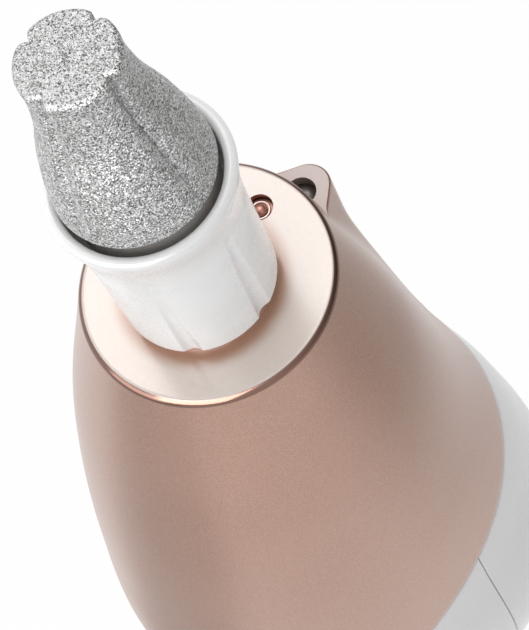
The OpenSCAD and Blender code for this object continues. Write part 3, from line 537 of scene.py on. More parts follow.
ROSE_DARK, ROSE_LIGHT = (0.38, 0.20, 0.135), (0.44, 0.255, 0.185)
FLAKE = (0.60, 0.46, 0.40)
# the face and the hood's top are painted paler than the side: painted light from above on the
# faces that look up
FACE_DARK, FACE_LIGHT = (0.65, 0.56, 0.505), (0.71, 0.62, 0.565)
HOOD_LIT_TOP = (0.56, 0.45, 0.41)
# the bevel's dark brown is a painted reflection of dim surroundings
BEVEL_DARK_REFLECTION = (0.19, 0.085, 0.055)
# painted warm shade and reflection round the collar's foot
FOOT_SHADE = (0.42, 0.2, 0.11)
RECESS_WALL = (0.42, 0.20, 0.15)
HOLE_WALL = (0.36, 0.3, 0.26)
GRIT_PATCH = (0.47, 0.47, 0.455)
# the pale colour of the screw's ring is a painted highlight on its raised edge
SCREW_FLOOR, SCREW_RING_HIGHLIGHT = (0.30, 0.13, 0.095), (0.93, 0.86, 0.82)
SCREW_COPPER = (0.55, 0.27, 0.21)
SMOKE_DARK, SMOKE_LIGHT = (0.08, 0.066, 0.055), (0.21, 0.2, 0.185)
PALE_FLOOR, PALER_FLOOR, FLAG = (0.80, 0.80, 0.80), (0.84, 0.84, 0.84), (0.55, 0.54, 0.535)
SHAFT_R, WIRE_PITCH = 2.6, 0.35
CELL_Y, CELL_END_R = 5, 6.2


def rose_satin():
    """Satin rose-gold paint on the nose: a warm side with fine flake; a paler face and a paler
    hood top, which are painted light from above on the faces that look up; painted warm shade
    and reflection round the collar's foot; a polished bevel painted dark, as a painted reflection
    of dim surroundings; a reddish wall in the screw's recess and a greyer one in the light's
    hole.
    The thumb slide shares it."""
    f = Finish("rose_satin", coat_roughness=0.22, coat_ior=1.7)
    x, y, z = f.axes()
    slow, flake = f.noise(14), f.noise(0.1, 1)

    def above(height, soft=0.1):
        return f.between(z, height - soft, height)

    def within(at, radius, soft=0.05):
        return 1 - f.between(away_from(x, y, at), radius, radius + soft)

    side = f.mix(slow, ROSE_DARK, ROSE_LIGHT)
    side = f.mix(f.between(flake, 0.35, 0.7) * 0.45, side, FLAKE)
    # the face's pale colour is painted light from above
    face = f.mix(f.noise(0.5), FACE_DARK, FACE_LIGHT)
    # painted shade and warm reflection, strongest at the collar's foot
    foot_shade = within((0, 0), COLLAR_FOOT_R - 0.2, 2)
    face = f.mix(foot_shade * 0.8, face, FOOT_SHADE)
    # the hood's top, where the normal looks up, is painted paler: painted light from above
    facing = f.split(f.node("NewGeometry", output="Normal"))[2]
    hood_top = f.between(facing, 0.93, 0.97) * above(HOOD_TOP - 0.05, 0.05)
    # the bevel ring gets the painted dark reflection
    bevel = above(FACE_Z - RIM_ROUND + 0.05, 0.2)
    top = above(FACE_Z - 0.02, 0.08)
    # painted light on the face and the hood's top
    painted_top_light = (hood_top + top).clamp()
    colour = f.mix(painted_top_light, f.mix(bevel, side, BEVEL_DARK_REFLECTION), f.mix(top, HOOD_LIT_TOP, face))
    recess = within(SCREW_AT, RECESS_R + 0.03) * (1 - above(FACE_Z - 0.03, 0.07))
    hole = within((0, LIGHT_Y), LIGHT_HOLE_R + 0.02, 0.04) * (1 - above(HOOD_TOP - 0.05))
    hole = hole * above(LIGHT_FLOOR, 1)
    f.set(base_color=f.mix(hole, f.mix(recess, colour, RECESS_WALL), HOLE_WALL))
    f.set(metallic=(0.9 + bevel * 0.1 - painted_top_light * 0.9 - hole).clamp())
    f.set(coat_weight=(0.5 + bevel * 0.3 - hole).clamp(), normal=f.bump(flake, 0.0025))
    uneven = (slow - 0.5) * 0.05 + (flake - 0.5) * 0.12
    f.set(roughness=0.34 + uneven - bevel * 0.2 + painted_top_light * 0.08)
    return f.material


def diamond_grit():
    """Diamond grit on steel: each grain has its own tone and its own tilt, so some flash."""
    f = Finish("diamond_grit")
    cells = {"Vector": f.place(), "Scale": 1 / (GRAIN * MM)}
    tint = f.node("TexVoronoi", inputs=cells, output="Color")
    shade, gloss, _ = f.split(tint)
    tone = f.ramp(shade, [(0, 0.04), (0.25, 0.18), (0.5, 0.48), (0.8, 0.78), (1, 0.98)])
    tone = f.mix(f.noise(2.5) * 0.25, tone, GRIT_PATCH)
    swing = f.node("VectorMath", {"operation": "SUBTRACT"}, {0: tint, 1: (0.5, 0.5, 0.5)})
    tilt = f.node("VectorMath", {"operation": "SCALE"}, {0: swing, "Scale": 0.75})
    face = f.node("NewGeometry", output="Normal")
    both = f.node("VectorMath", {"operation": "ADD"}, {0: face, 1: tilt})
    normal = f.node("VectorMath", {"operation": "NORMALIZE"}, {0: both})
    f.set(base_color=tone, metallic=0.65, roughness=0.3 + gloss * 0.3, normal=normal)
    return f.material


def face_screw():
    """Copper-toned screw: a pale ring painted as the highlight on its raised edge, reddish dome
    in its middle, brown floor.
    """
    f = Finish("face_screw_copper", metallic=0.8)
    x, y, _ = f.axes()
    out = away_from(x, y, SCREW_AT)
    dome = 1 - f.between(out, 0.66, 0.74)
    # the raised ring is painted pale: a painted highlight
    ring = f.between(out, 0.8, 0.86) * (1 - f.between(out, 1.08, 1.14))
    stain = f.noise(0.3, 3)
    floor = f.mix(stain, SCREW_FLOOR, RECESS_WALL)
    colour = f.mix(dome, f.mix(ring, floor, SCREW_RING_HIGHLIGHT), SCREW_COPPER)
    f.set(base_color=colour, roughness=0.22 + stain * 0.2, normal=f.bump(stain, 0.01))
    return f.material


def circuit_board():
    """Green solder mask over copper tracks, which show as a faint raised pattern."""
    f = Finish("circuit_board", coat_weight=0.4, coat_roughness=0.2)
    cells = {"Vector": f.place(), "Scale": 420.0, "Randomness": 0.3}
    track = f.node("TexVoronoi", {"feature": "DISTANCE_TO_EDGE"}, cells)
    line = 1 - f.between(track, 0.05, 0.09)
    f.set(base_color=f.mix(line, (0.012, 0.11, 0.045), (0.04, 0.2, 0.09)))
    f.set(roughness=0.4 - line * 0.1, normal=f.bump(line, 0.03))
    return f.material


def wound_copper():
    """Armature: copper windings round Z on a steel shaft."""
    f = Finish("wound_copper", metallic=1.0)
    x, y, z = f.axes()
    wound = f.between(away_from(x, y), SHAFT_R, SHAFT_R + 0.2)
    wire = (z * (TURN / WIRE_PITCH)).math("SINE") * 0.5 + 0.5
    copper = f.mix(wire, (0.36, 0.13, 0.05), (0.76, 0.36, 0.19))
    f.set(base_color=f.mix(wound, (0.6, 0.6, 0.61), copper))
    f.set(roughness=0.32 + f.noise(1) * 0.15, normal=f.bump(wire * wound, 0.08))
    return f.material


def cell_wrap():
    """Shrink wrap on the cell, bare steel at its two ends."""
    f = Finish("cell_wrap", coat_weight=0.3, coat_roughness=0.15)
    x, y, _ = f.axes()
    steel = 1 - f.between(away_from(x, y, (0, CELL_Y)), CELL_END_R, CELL_END_R + 0.2)
    blue = f.mix(f.noise(7), (0.03, 0.13, 0.27), (0.05, 0.18, 0.34))
    f.set(base_color=f.mix(steel, blue, (0.6, 0.6, 0.6)), metallic=steel)
    f.set(roughness=0.34 + f.noise(0.6, 3) * 0.12, normal=f.bump(f.noise(3), 0.05))
    return f.material


def lamp_window():
    """Smoked domed window of the work light: dark, glossy, greyer in its middle."""
    f = Finish("smoked_window", coat_weight=0.6, coat_roughness=0.06)
    x, y, _ = f.axes()
    middle = 1 - f.between(away_from(x, y, (0, LIGHT_Y)), 0.5, 1.15)
    haze = f.noise(0.4)
    f.set(base_color=f.mix(middle, SMOKE_DARK, SMOKE_LIGHT))
    f.set(roughness=0.14 + haze * 0.1, normal=f.bump(haze, 0.004))
    return f.material


def glossy(name, colour, rough, **more):
    """Moulded plastic with a clear gloss over it."""
    return moulded(name, colour, rough, coat_weight=0.45, coat_roughness=0.12, **more)


FINISHES = {
    "rose_metallic": rose_satin(),
    "copper_screw": face_screw(),
    "handle_plastic": glossy("handle_gloss", (0.69, 0.685, 0.69), 0.3, vary=0.02, depth=0.0015),
    "white_gloss": glossy("collar_gloss", (0.93, 0.93, 0.93), 0.28, vary=0.015, depth=0.001),
    "white_plastic": moulded("core_moulding", (0.8, 0.79, 0.76), 0.5),
    "grit": diamond_grit(),
    "hub_plastic": moulded("hub_moulding", (0.5, 0.475, 0.455), 0.42, vary=0.15),
    "grey_plastic": moulded("grey_moulding", (0.3, 0.32, 0.35), 0.5),
    "dark_plastic": moulded("dark_moulding", (0.05, 0.05, 0.055), 0.5),
    "black_plastic": moulded("black_moulding", (0.015, 0.015, 0.015), 0.5),
    "motor_steel": turned("motor_plating", (0.62, 0.63, 0.65), 0.32),
    "magnet": moulded("ferrite", (0.04, 0.04, 0.043), 0.65, grain=0.3, depth=0.03, vary=0.3),
    "copper": wound_copper(),
    "brass": turned("machined_brass", (0.8, 0.58, 0.25), 0.28),
    "bronze": turned("sintered_bronze", (0.52, 0.33, 0.17), 0.45, pitch=0.3),
    "gear_plastic": moulded("gear_acetal", (0.82, 0.78, 0.68), 0.4),
    "steel": turned("machined_steel", (0.66, 0.66, 0.68), 0.26),
    "nickel": turned("nickel_plate", (0.72, 0.70, 0.65), 0.2, pitch=0.4),
    "black_rubber": moulded("seal_rubber", (0.02, 0.02, 0.02), 0.75, depth=0.01),
    "cell_wrap": cell_wrap(),
    "board": circuit_board(),
    "smoked_lens": lamp_window(),
    "led_resin": moulded("led_resin", (0.86, 0.82, 0.6), 0.2, depth=0.001, coat_weight=0.5),
    "light_pipe": moulded("frosted_pipe", (0.86, 0.86, 0.82), 0.35, depth=0.003, coat_weight=0.3),
    "red_wire": moulded("red_insulation", (0.5, 0.03, 0.025), 0.4, vary=0.12),
    "black_wire": moulded("black_insulation", (0.02, 0.02, 0.02), 0.4, vary=0.12),
}


def dress(piece, body, slot, *nodes):
    """Gives a new piece its finish, its body and the solids that it stands for."""
    piece.data.materials.clear()
    piece.data.materials.append(FINISHES[slot])
    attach(piece, body)
    if nodes:
        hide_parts(*nodes)
    return piece


# ---------------------------------------------------------------- nose shell
def nose_rows():
    """Rings of the nose from its slanted edge up the skin with the hood, over the bevel and the
    face, up the seat ring, down the bore and back down inside to the edge."""
    low, high = -math.pi / 2 - HOOD_SPAN, -math.pi / 2 + HOOD_SPAN
    hood = np.linspace(low, high, 130, endpoint=False)
    rest = np.linspace(high, 1.5 * math.pi - HOOD_SPAN, 250, endpoint=False)
    a = np.concatenate([hood, rest])
    foot, top = edge_height(a), HOOD_TOP - HOOD_ROUND
    rounding = near_edge(EDGE_ROUND)
    share = np.linspace(0, 1, 84)[:, None]
    start = foot + EDGE_ROUND
    z = np.vstack([foot + rounding[:-1, None], start + share * (top - start)])
    rows = [polar(a, nose_radius(a, z) - drawn_in(EDGE_ROUND, z - foot), z)]
    outer, inner = nose_radius(a, HOOD_TOP), body_radius(a, HOOD_TOP)
    step = np.where(outer - inner < 0.03, 0, outer - inner)
    edge = np.minimum(HOOD_ROUND, 0.45 * step)
    for t in np.linspace(0, math.pi / 2, 6):
        height = HOOD_TOP - edge * (1 - math.sin(t))
        rows.append(polar(a, inner + step - edge * (1 - math.cos(t)), height)[None])
    for t in (0.02, 0.25, 0.5, 0.75, 0.97, 1.0):
        rows.append(polar(a, inner + (step - edge) * (1 - t), HOOD_TOP)[None])
    neck = np.linspace(HOOD_TOP, FACE_Z - RIM_ROUND, 10)[1:]
    z = np.concatenate([neck, FACE_Z - near_edge(RIM_ROUND, 10)[-2::-1]])[:, None]
    rows.append(polar(a, body_radius(a, z) - drawn_in(RIM_ROUND, FACE_Z - z), z))
    brim = body_radius(a, FACE_Z) - RIM_ROUND
    for t in (0.004, 0.03, 0.2, 0.4, 0.6, 0.8, 0.97, 0.996, 1.0):
        rows.append(polar(a, brim + t * (SEAT_R - brim), FACE_Z)[None])
    corner = ((0, 0.25), (0.03, 0.1), (0.1, 0.03), (0.25, 0))
    ring = [(SEAT_R - inward, SEAT_TOP - down) for inward, down in corner]
    ring += [(BORE_R + 0.1, SEAT_TOP), (BORE_R, SEAT_TOP - 0.1), (BORE_R, INNER_TOP)]
    rows += [polar(a, r, h)[None] for r, h in ring]
    span = body_radius(a, INNER_TOP, NOSE_WALL) - BORE_R
    rows += [polar(a, BORE_R + t * span, INNER_TOP)[None] for t in (0.5, 1)]
    within = edge_height(a, NOSE_WALL)
    z = within + np.linspace(1, 0, 26)[1:, None] * (INNER_TOP - within)
    rows.append(polar(a, body_radius(a, z, NOSE_WALL), z))
    return np.vstack(rows)


nose = sweep("nose_skin", nose_rows())
ends = (*SCREW_AT, FACE_Z - NOSE_BOSS_DEPTH), (*SCREW_AT, FACE_Z - NOSE_WALL / 2)
nose = combine(nose, rod("boss", *ends, NOSE_BOSS_R), "UNION")
ends = (*SCREW_AT, FACE_Z - RECESS_DEPTH), (*SCREW_AT, FACE_Z + 2)
nose = combine(nose, rod("recess", *ends, RECESS_R, 64))
ends = (*SCREW_AT, FACE_Z - NOSE_SHANK_DEPTH), (*SCREW_AT, FACE_Z - 0.5)
nose = combine(nose, rod("shank_hole", *ends, NOSE_SHANK_R))
low, high = LIGHT_FLOOR, HOOD_TOP + 0.01
profile = [(0, low), (LIGHT_HOLE_R, low), (LIGHT_HOLE_R, high), (0, high)]
nose = combine(nose, lathe("light_hole", profile, 72, (0, LIGHT_Y)))
dress(nose, "housing", "rose_metallic", "nose_shell")


# ---------------------------------------------------------------- handle shells
def handle_point(u, z, inset, front):
    """Point of the handle's skin a share u of the way from seam to seam, on the front or the
    back half: the section's own angle runs between the two crossings of the seam plane."""
    width, depth, centre = (size_at(z, k) for k in (1, 2, 3))
    width, depth = width - inset, depth - inset
    cross = (SEAM_Y - centre) / depth
    rise = np.arcsin(np.sign(cross) * np.abs(cross) ** (BODY_POWER / 2))
    start, span = (rise, -math.pi - 2 * rise) if front else (rise, math.pi - 2 * rise)
    turn = start + u * span
    across, along = np.cos(turn), np.sin(turn)
    x = width * np.sign(across) * np.abs(across) ** (2 / BODY_POWER)
    y = centre + depth * np.sign(along) * np.abs(along) ** (2 / BODY_POWER)
    return x, y


def handle_half(name, front):
    """Half of the handle: the outer skin and the inner skin, joined along the seam and the
    slanted edge. Both skins start from the middle of the seam on the tail's floor."""
    fine = np.array([0, 0.0004, 0.0012, 0.0026, 0.0044])
    u = np.concatenate([fine, np.linspace(0.007, 0.993, 190), 1 - fine[::-1]])[None, :]
    gap = SEAM_GAP if front else -SEAM_GAP

    def edge(inset):
        z = np.full(u.shape, EDGE_Z)
        for _ in range(10):
            z = EDGE_Z - EDGE_FALL * handle_point(u, z, inset, front)[1]
        return z - EDGE_GAP

    def closed(rows, height):
        """The rows with five more under them, from the middle of the seam out."""
        middle = np.array([0, SEAM_Y - gap, height])
        floor = [middle + s * (rows[0] - middle) for s in (0, 0.3, 0.6, 0.9, 0.99)]
        return np.concatenate([np.array(floor), rows])

    def skin(z, inset, rounded):
        top = edge(0)
        if rounded:
            inset = inset + drawn_in(EDGE_ROUND, top - z) + drawn_in(TAIL_ROUND, z)
            y = handle_point(u, z, inset, front)[1]
            inset = inset + drawn_in(EDGE_ROUND, np.abs(y - SEAM_Y))
        x, y = handle_point(u, z, inset, front)
        return np.stack(np.broadcast_arrays(x, y - gap, z), -1)

    top = edge(0)
    foot = near_edge(TAIL_ROUND, 8)[:, None] + np.zeros_like(u)
    share = np.linspace(0, 1, 64)[1:, None]
    side = TAIL_ROUND + share * (top - EDGE_ROUND - TAIL_ROUND)
    outer = skin(np.vstack([foot, side, top - near_edge(EDGE_ROUND)[-2::-1, None]]), 0.0, True)
    rise = np.linspace(0, 1, len(outer))[:, None]
    within = HANDLE_WALL + rise * (edge(HANDLE_WALL) - HANDLE_WALL)
    outer, within = closed(outer, 0), closed(skin(within, HANDLE_WALL, False), HANDLE_WALL)
    rows, cols = outer.shape[:2]
    count = rows * cols
    faces = [quads(rows, cols, False, False), quads(rows, cols, False, False, count)[:, ::-1]]
    i = np.arange(rows - 1)
    for column in (0, cols - 1):
        k = i * cols + column
        faces.append(np.stack([k, k + cols, k + cols + count, k + count], -1))
    j = (rows - 1) * cols + np.arange(cols - 1)
    faces.append(np.stack([j, j + 1, j + 1 + count, j + count], -1))
    points = np.concatenate([outer.reshape(-1, 3), within.reshape(-1, 3)])
    return make(name, points, np.concatenate(faces))


def front_at(z):
    """Distance of the front skin in front of the head axis at height z."""
    return float(size_at(z, 2) - size_at(z, 3))


def back_at(x, z):
    """Depth y of the back skin at x and height z."""
    reach = (abs(x) / size_at(z, 1)) ** BODY_POWER
    return float(size_at(z, 3) + size_at(z, 2) * (1 - reach) ** (1 / BODY_POWER))


well_low = SWITCH_Z - BUTTON[1] / 2 - WELL_GAP
well_high = SWITCH_Z + SWITCH_TRAVEL + BUTTON[1] / 2 + WELL_GAP
well_y = front_at(well_high) - WELL_DEPTH
half_well = BUTTON[0] / 2 + WELL_GAP

front = handle_half("handle_front_skin", True)
half_pad = half_well + PAD_RIM
pad = block("pad", (-half_pad, -1, well_low - PAD_RIM), (half_pad, 0, well_high + PAD_RIM))
for corner in pad.data.vertices:
    # the pad's front stays a little under the skin, which slants, and its back is upright
    skin_y = front_at(corner.co.z / MM) - PAD_UNDER
    corner.co.y = -MM * (skin_y if corner.co.y < -0.5 * MM else well_y - PAD_T)
front = combine(front, pad, "UNION")


def rounded_bar(name, half_x, z0, z1, y0, y1, corner):
    """A bar along Y whose outline is a box with round corners."""
    turn = np.linspace(0, TURN, 64, endpoint=False) + TURN / 128
    half_z, middle = (z1 - z0) / 2, (z0 + z1) / 2
    across, along = np.sign(np.cos(turn)), np.sign(np.sin(turn))
    x = across * (half_x - corner) + corner * np.cos(turn)
    z = along * (half_z - corner) + corner * np.sin(turn)
    ring = np.stack([x, z], 1)
    rows = []
    for y, scale in ((y0, 0), (y0, 1), (y0 + 3, 1), (y1, 1), (y1, 0)):
        r = ring * scale
        rows.append(np.stack([r[:, 0], np.full(64, y), r[:, 1] + middle], 1))
    return sweep(name, rows, closed_rows=False)


well = rounded_bar("well", half_well, well_low, well_high, -well_y - 5, -well_y, WELL_CORNER)
front = combine(front, well)
low = (-STEM_HALF, -well_y - 2, SWITCH_Z - STEM_LOW)
high = (STEM_HALF, -well_y + 4, SWITCH_Z + STEM_HIGH)
front = combine(front, block("stem_slot", low, high))
hole = rod("indicator_hole", (0, -40, INDICATOR_Z), (0, SEAM_Y, INDICATOR_Z), INDICATOR_R)
front = combine(front, hole)
dress(front, "housing", "handle_plastic", "handle_front_shell")

back = handle_half("handle_back_skin", False)
for x, z in CASE_SCREWS:
    boss = rod("boss", (x, SEAM_Y + CASE_BOSS_START, z), (x, SCREW_SEAT, z), CASE_BOSS_R)
    for corner in boss.data.vertices:
        # the boss's outer end stays a little under the skin, which curves away
        if corner.co.y > (SCREW_SEAT - 1) * MM:
            corner.co.y = MM * (back_at(corner.co.x / MM, corner.co.z / MM) - BOSS_UNDER)
    back = combine(back, boss, "UNION")
    hole = rod("shank_hole", (x, SEAM_Y - 1, z), (x, SCREW_SEAT + 1, z), CASE_SHANK_R)
    back = combine(back, hole)
    back = combine(back, rod("head_hole", (x, SCREW_SEAT, z), (x, 40, z), CASE_HEAD_R))
back = combine(back, slot_bar("port_cut", *PORT_MOUTH, -1, HANDLE_WALL + 1, PORT_Y))
dress(back, "housing", "handle_plastic", "handle_back_shell")


# ---------------------------------------------------------------- collar
def collar_rows():
    """Rings of the collar: up its fluted outside, over the rolled lip, down the flared mouth,
    across the web that holds the bush, and down the bore to the foot."""
    a = np.linspace(0, TURN, 400, endpoint=False)
    main = np.linspace(SEAT_TOP + 0.4, COLLAR_RIM_Z - 0.1, 70)
    z = np.concatenate([SEAT_TOP + near_edge(COLLAR_FOOT_ROUND), main])
    wall = smooth_curve(z, *zip(*COLLAR_KNOTS)) - drawn_in(COLLAR_FOOT_ROUND, z - SEAT_TOP)
    off = (a - FLUTE_ANGLE + math.pi / FLUTES) % (TURN / FLUTES) - math.pi / FLUTES
    centre = COLLAR_FOOT_R - FLUTE_DEPTH + FLUTE_R + math.tan(FLUTE_LEAN) * (z - SEAT_TOP)
    centre = centre + FLUTE_BEND * (z - SEAT_TOP) ** 2
    centre = (centre + smooth_step((z - FLUTE_FADE_Z) / FLUTE_FADE))[:, None]
    inside = np.clip(FLUTE_R**2 - (centre * np.sin(off)) ** 2, 0, None)
    dip = np.where(np.abs(off) < FLUTE_REACH, centre * np.cos(off) - np.sqrt(inside), 99)
    radius = -smooth_max(-wall[:, None], -dip, FLUTE_EDGE)
    rows = [polar(a, radius, z[:, None])]
    for t in np.linspace(0, math.pi, 14):
        lip = COLLAR_RIM_R - LIP_ROLL + LIP_ROLL * math.cos(t)
        rows.append(polar(a, lip, COLLAR_RIM_Z + LIP_ROLL * math.sin(t))[None])
    rows += [polar(a, r, h)[None] for r, h in COLLAR_INSIDE]
    return np.vstack(rows)


def smooth_curve(at, places, values):
    """Cubic Hermite curve through places and values, with the slopes of a three-point mean."""
    places, values = np.array(places, float), np.array(values, float)
    slope = np.gradient(values, places)
    i = np.clip(np.searchsorted(places, at, side="right") - 1, 0, len(places) - 2)
    gap = places[i + 1] - places[i]
    t = (at - places[i]) / gap
    return hermite(t, gap, values[i], values[i + 1], slope[i], slope[i + 1])


dress(sweep("fluted_collar", collar_rows(), angle=40), "attachment", "white_gloss", "collar")


# ---------------------------------------------------------------- grit head
def head_radius(t):
    """Radius of the head a share t up: three cubic spans through the knots."""
    k = np.clip(t * 3, 0, 3)
    i = np.minimum(2, np.floor(k)).astype(int)
    s = k - i
    knots = np.array(HEAD_KNOTS)
    slope = np.array([0, (knots[2] - knots[0]) / 2, (knots[3] - knots[1]) / 2, TIP_FLARE])
    return hermite(s, 1, knots[i], knots[i + 1], slope[i], slope[i + 1])


def head_rows():
    """Rings of the grit head: from the middle of the tip out over its rounded edge, down the
    bell, whose grooves have a narrow crease in their middle, under the foot and up inside to a
    second middle. Every point of the skin is a little out of place, as grains are."""
    rng = np.random.default_rng(7)
    a = np.linspace(0, TURN, 360, endpoint=False)
    z = np.concatenate(
        [
            HEAD_TIP - near_edge(HEAD_ROUND, 6),
            np.linspace(HEAD_TIP - HEAD_ROUND, HEAD_BASE + HEAD_FOOT_ROUND, 168)[1:-1],
            HEAD_BASE + near_edge(HEAD_FOOT_ROUND, 4)[::-1],
        ]
    )
    t = ((z - HEAD_BASE) / (HEAD_TIP - HEAD_BASE))[:, None]
    fold = np.maximum(0, np.cos(GROOVES * (a - GROOVE_ANGLE)))
    fold = GROOVE_DEPTH * fold**GROOVE_POWER + CREASE_DEPTH * fold**CREASE_POWER
    radius = head_radius(t) - np.maximum(t, 0) ** GROOVE_FADE * fold
    draw = drawn_in(HEAD_ROUND, HEAD_TIP - z) + drawn_in(HEAD_FOOT_ROUND, z - HEAD_BASE)
    skin = polar(a, radius - draw[:, None], z[:, None])
    top = np.array([skin[0] * [s, s, 1] for s in np.linspace(0, 0.985, 34)])
    grain = rng.normal(0, 1, (len(top) + len(skin), len(a), 1))
    rows = np.concatenate([top, skin])
    inward = rows * [1, 1, 0] / np.maximum(np.hypot(rows[..., :1], rows[..., 1:2]), 1e-6)
    inward[: len(top)] = [0, 0, 1]
    grain[0], grain[-1] = 0, 0
    rows = rows - inward * np.clip(np.abs(grain), 0, GRAIN_LIMIT) * GRAIN_RELIEF
    return np.concatenate([rows, [polar(a, r, h) for r, h in HEAD_INSIDE]])


dress(sweep("grit_bell", head_rows(), closed_rows=False, angle=60), "head", "grit", "grit_head")


# ---------------------------------------------------------------- small pieces
def button_rows():
    """Rings of the thumb slide: a crowned pad with four ribs, rounded over to its skirt."""
    a = np.linspace(0, TURN, 240, endpoint=False)
    across = np.abs(2 * np.cos(a) / BUTTON[0]) ** BUTTON_POWER
    along = np.abs(2 * np.sin(a) / BUTTON[1]) ** BUTTON_POWER
    reach = (across + along) ** (-1 / BUTTON_POWER)
    x, z = reach * np.cos(a), reach * np.sin(a)
    rows = []
    edge = 1 - near_edge(BUTTON_ROUND)[-2::-1]
    for s in np.concatenate([np.linspace(0, 1 - BUTTON_ROUND, 34), edge]):
        rib = RIB * np.maximum(0, np.cos(TURN * s * z / RIB_PITCH)) ** RIB_POWER
        rib = rib * smooth_step((RIB_END - s) / RIB_FADE)
        crown = BUTTON_RISE + BUTTON_CROWN * (1 - s * s)
        crown = crown - BUTTON_FALL * drawn_in(BUTTON_ROUND, 1 - s)
        rows.append(np.stack([s * x, -well_y - crown - rib, SWITCH_Z + s * z], 1))
    for s, out in ((1, 1.1), (1, BUTTON_SKIRT), (0, BUTTON_SKIRT)):
        rows.append(np.stack([s * x, np.full(len(a), -well_y - out), SWITCH_Z + s * z], 1))
    return np.array(rows)


slide = sweep("thumb_slide", button_rows(), closed_rows=False)
dress(slide, "button", "rose_metallic", "switch_button")

floor_z = FACE_Z - RECESS_DEPTH
flat_z = floor_z + SCREW_FLAT
dome = [
    (SCREW_DOME_R * math.sin(t), floor_z + SCREW_DOME_Z + SCREW_DOME_RISE * math.cos(t))
    for t in np.linspace(0, math.pi / 2, 10)
]
ring_w, ring_h = SCREW_RING_SIZE
ring = [
    (SCREW_RING_R + ring_w * math.cos(t), floor_z + SCREW_RING_Z + ring_h * math.sin(t))
    for t in np.linspace(math.pi, 0, 10)
]
profile = dome + [(0.76, flat_z), (0.83, flat_z)] + ring
profile += [(1.12, flat_z), (1.36, floor_z + 0.34), (SCREW_HEAD_R, floor_z + 0.3)]
profile += [(SCREW_HEAD_R, floor_z + SCREW_LIFT), (SCREW_SHANK_R, floor_z + SCREW_LIFT)]
profile += [(SCREW_SHANK_R, 92.5), (0, 92.2)]
dress(lathe("face_screw", profile, 64, SCREW_AT), "housing", "copper_screw", "nose_screw")

window = []
for t in np.linspace(0, LENS_ARC, 12):
    rise = LENS_CROWN * (math.cos(t) - math.cos(LENS_ARC)) / (1 - math.cos(LENS_ARC))
    radius = LENS_CROWN_R * math.sin(t) / math.sin(LENS_ARC)
    window.append((radius, LENS_TOP - LENS_CROWN + rise))
window += [(1.8, LENS_TOP - 0.6), (1.8, LENS_TOP - LENS_T), (0, LENS_TOP - LENS_T)]
dress(lathe("lamp_window", window, 64, (0, LIGHT_Y)), "housing", "smoked_lens", "light_lens")

for row in frame["record"]["subparts"]:
    solid = frame["nodes"][row["node"]]
    solid.data.materials.clear()
    solid.data.materials.append(FINISHES[row["material_slot"]])


# ---------------------------------------------------------------- floor, light and camera
def light_path(tree, *kinds):
    """1 for rays of the named kinds, 0 for the others."""
    node = tree.nodes.new("ShaderNodeLightPath")
    rays = [Value(tree, node.outputs[kind]) for kind in kinds]
    return sum(rays[1:], rays[0]).clamp()


def mirrored_rays(tree):
    """1 for rays that a glossy or clear surface sends on."""
    return light_path(tree, "Is Glossy Ray", "Is Transmission Ray")


FLOOR_Z = -0.2
GLOW_SEEN, GLOW_MIRRORED = 0.96, 0.95
# direction, and the two limits that the cosine to it is softened between
LEFT_FLAG = ((0.17, 0.985), 0.8, 0.97)
RIGHT_FLAG = ((-0.42, -0.91), 0.3, 0.9)
turn = np.linspace(0, TURN, 96, endpoint=False)
disc = np.array([polar(turn, r, FLOOR_Z) for r in (0, 400, 3000)])
ground = sweep("ground", disc, closed_rows=False)
paint = Finish("ground_paint", roughness=0.6)
glow = paint.tree.nodes.new("ShaderNodeEmission")
glow.inputs[0].default_value = (1, 1, 1, 1)
blend = paint.tree.nodes.new("ShaderNodeMixShader")
x, y, _ = paint.axes()
away = away_from(x, y) + 1


def flag(way, low, high):
    """1 on the floor towards way and 0 away from it."""
    return paint.between((x * way[0] + y * way[1]) / away, low, high)


# the floor, which the body's flanks mirror, is greyer and glows less where a studio would have
# a flag, and the right flag begins a little way from the part
flags = (flag(*LEFT_FLAG) + flag(*RIGHT_FLAG) * 0.85 * paint.between(away, 25, 95)).clamp()
plain = paint.mix(paint.noise(60), PALE_FLOOR, PALER_FLOOR)
paint.set(base_color=paint.mix(flags, plain, FLAG))
shown = light_path(paint.tree, "Is Camera Ray") * GLOW_SEEN
shown = shown + mirrored_rays(paint.tree) * (GLOW_MIRRORED - flags)
feed(paint.tree, blend.inputs[0], shown.clamp())
paint.tree.links.new(paint.shader.outputs[0], blend.inputs[1])
paint.tree.links.new(glow.outputs[0], blend.inputs[2])
paint.tree.links.new(blend.outputs[0], paint.out.inputs[0])
ground.data.materials.append(paint.material)

world = bpy.data.worlds.new("studio")
bpy.context.scene.world = world
world.use_nodes = True
sky = next(n for n in world.node_tree.nodes if n.type == "BACKGROUND")
sky.inputs[0].default_value = (1, 1, 1, 1)
sky_tree = world.node_tree
way = sky_tree.nodes.new("ShaderNodeSeparateXYZ")
sky_tree.links.new(sky_tree.nodes.new("ShaderNodeTexCoord").outputs["Generated"], way.inputs[0])
sky_x, sky_y = (Value(sky_tree, way.outputs[k]) for k in (0, 1))
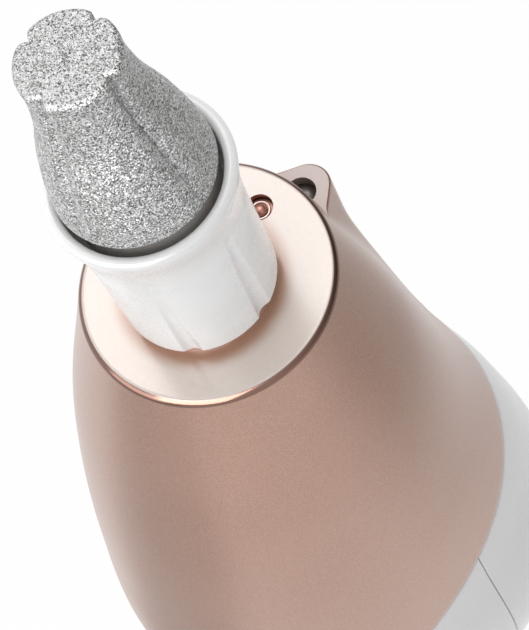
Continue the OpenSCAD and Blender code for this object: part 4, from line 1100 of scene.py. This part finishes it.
# the studio is dimmer on its front side, more so in the gloss than in the light it gives
SKY_MATT, SKY_GLOSS, FRONT_LOSS_MATT, FRONT_LOSS_GLOSS = 0.78, 1.0, 0.32, 0.9
dim = (sky_x * -0.3 - sky_y * 0.95).clamp()
seen = light_path(sky_tree, "Is Camera Ray")
mirrored = mirrored_rays(sky_tree)
loss = dim * (FRONT_LOSS_MATT + mirrored * (FRONT_LOSS_GLOSS - FRONT_LOSS_MATT))
lit = (1 - loss) * (SKY_MATT + mirrored * (SKY_GLOSS - SKY_MATT))
feed(sky_tree, sky.inputs[1], seen + (1 - seen) * lit)


LAMP_AIM = Vector((0, 0, 0.09))


def softbox(name, towards, distance, size, power):
    """An area lamp of a width and a height at a distance from LAMP_AIM in the direction towards,
    facing it."""
    data = bpy.data.lights.new(name, "AREA")
    data.shape, data.energy = "RECTANGLE", power
    data.size, data.size_y = size
    lamp = bpy.data.objects.new(name, data)
    bpy.context.scene.collection.objects.link(lamp)
    way = Vector(towards).normalized()
    lamp.location = LAMP_AIM + way * distance
    lamp.rotation_mode = "QUATERNION"
    lamp.rotation_quaternion = way.to_track_quat("Z", "Y")
    return lamp


softbox("key_softbox", (0.25, 0.88, 0.35), 0.9, (0.6, 0.6), 2.2)
softbox("top_softbox", (0.34, -0.28, 0.89), 0.8, (0.45, 0.45), 1.6)
# the side softbox, which the near edge of the nose's rim mirrors, shows in gloss alone
softbox("side_softbox", (-0.26, 0.7, 0.64), 0.8, (0.65, 0.7), 8.5).visible_diffuse = False

CAMERA_AT = Vector((-122.22, 45.137, 342.588)) * MM
CAMERA_WAY = Vector((0.42956, -0.17355, -0.8862)).normalized()
ROLL = math.radians(29.5)
FOCAL_LENGTH = 152.54
data = bpy.data.cameras.new("camera")
data.sensor_width, data.lens = 36.0, FOCAL_LENGTH
data.clip_start, data.clip_end = 0.01, 20
camera = bpy.data.objects.new("camera", data)
bpy.context.scene.collection.objects.link(camera)
level = CAMERA_WAY.cross(Vector((0, 0, 1))).normalized()
above = level.cross(CAMERA_WAY)
right = level * math.cos(ROLL) - above * math.sin(ROLL)
up = level * math.sin(ROLL) + above * math.cos(ROLL)
turned_to = Matrix((right, up, -CAMERA_WAY)).transposed().to_4x4()
camera.matrix_world = Matrix.Translation(CAMERA_AT) @ turned_to
bpy.context.scene.camera = camera
bpy.context.scene.view_settings.view_transform = "Standard"
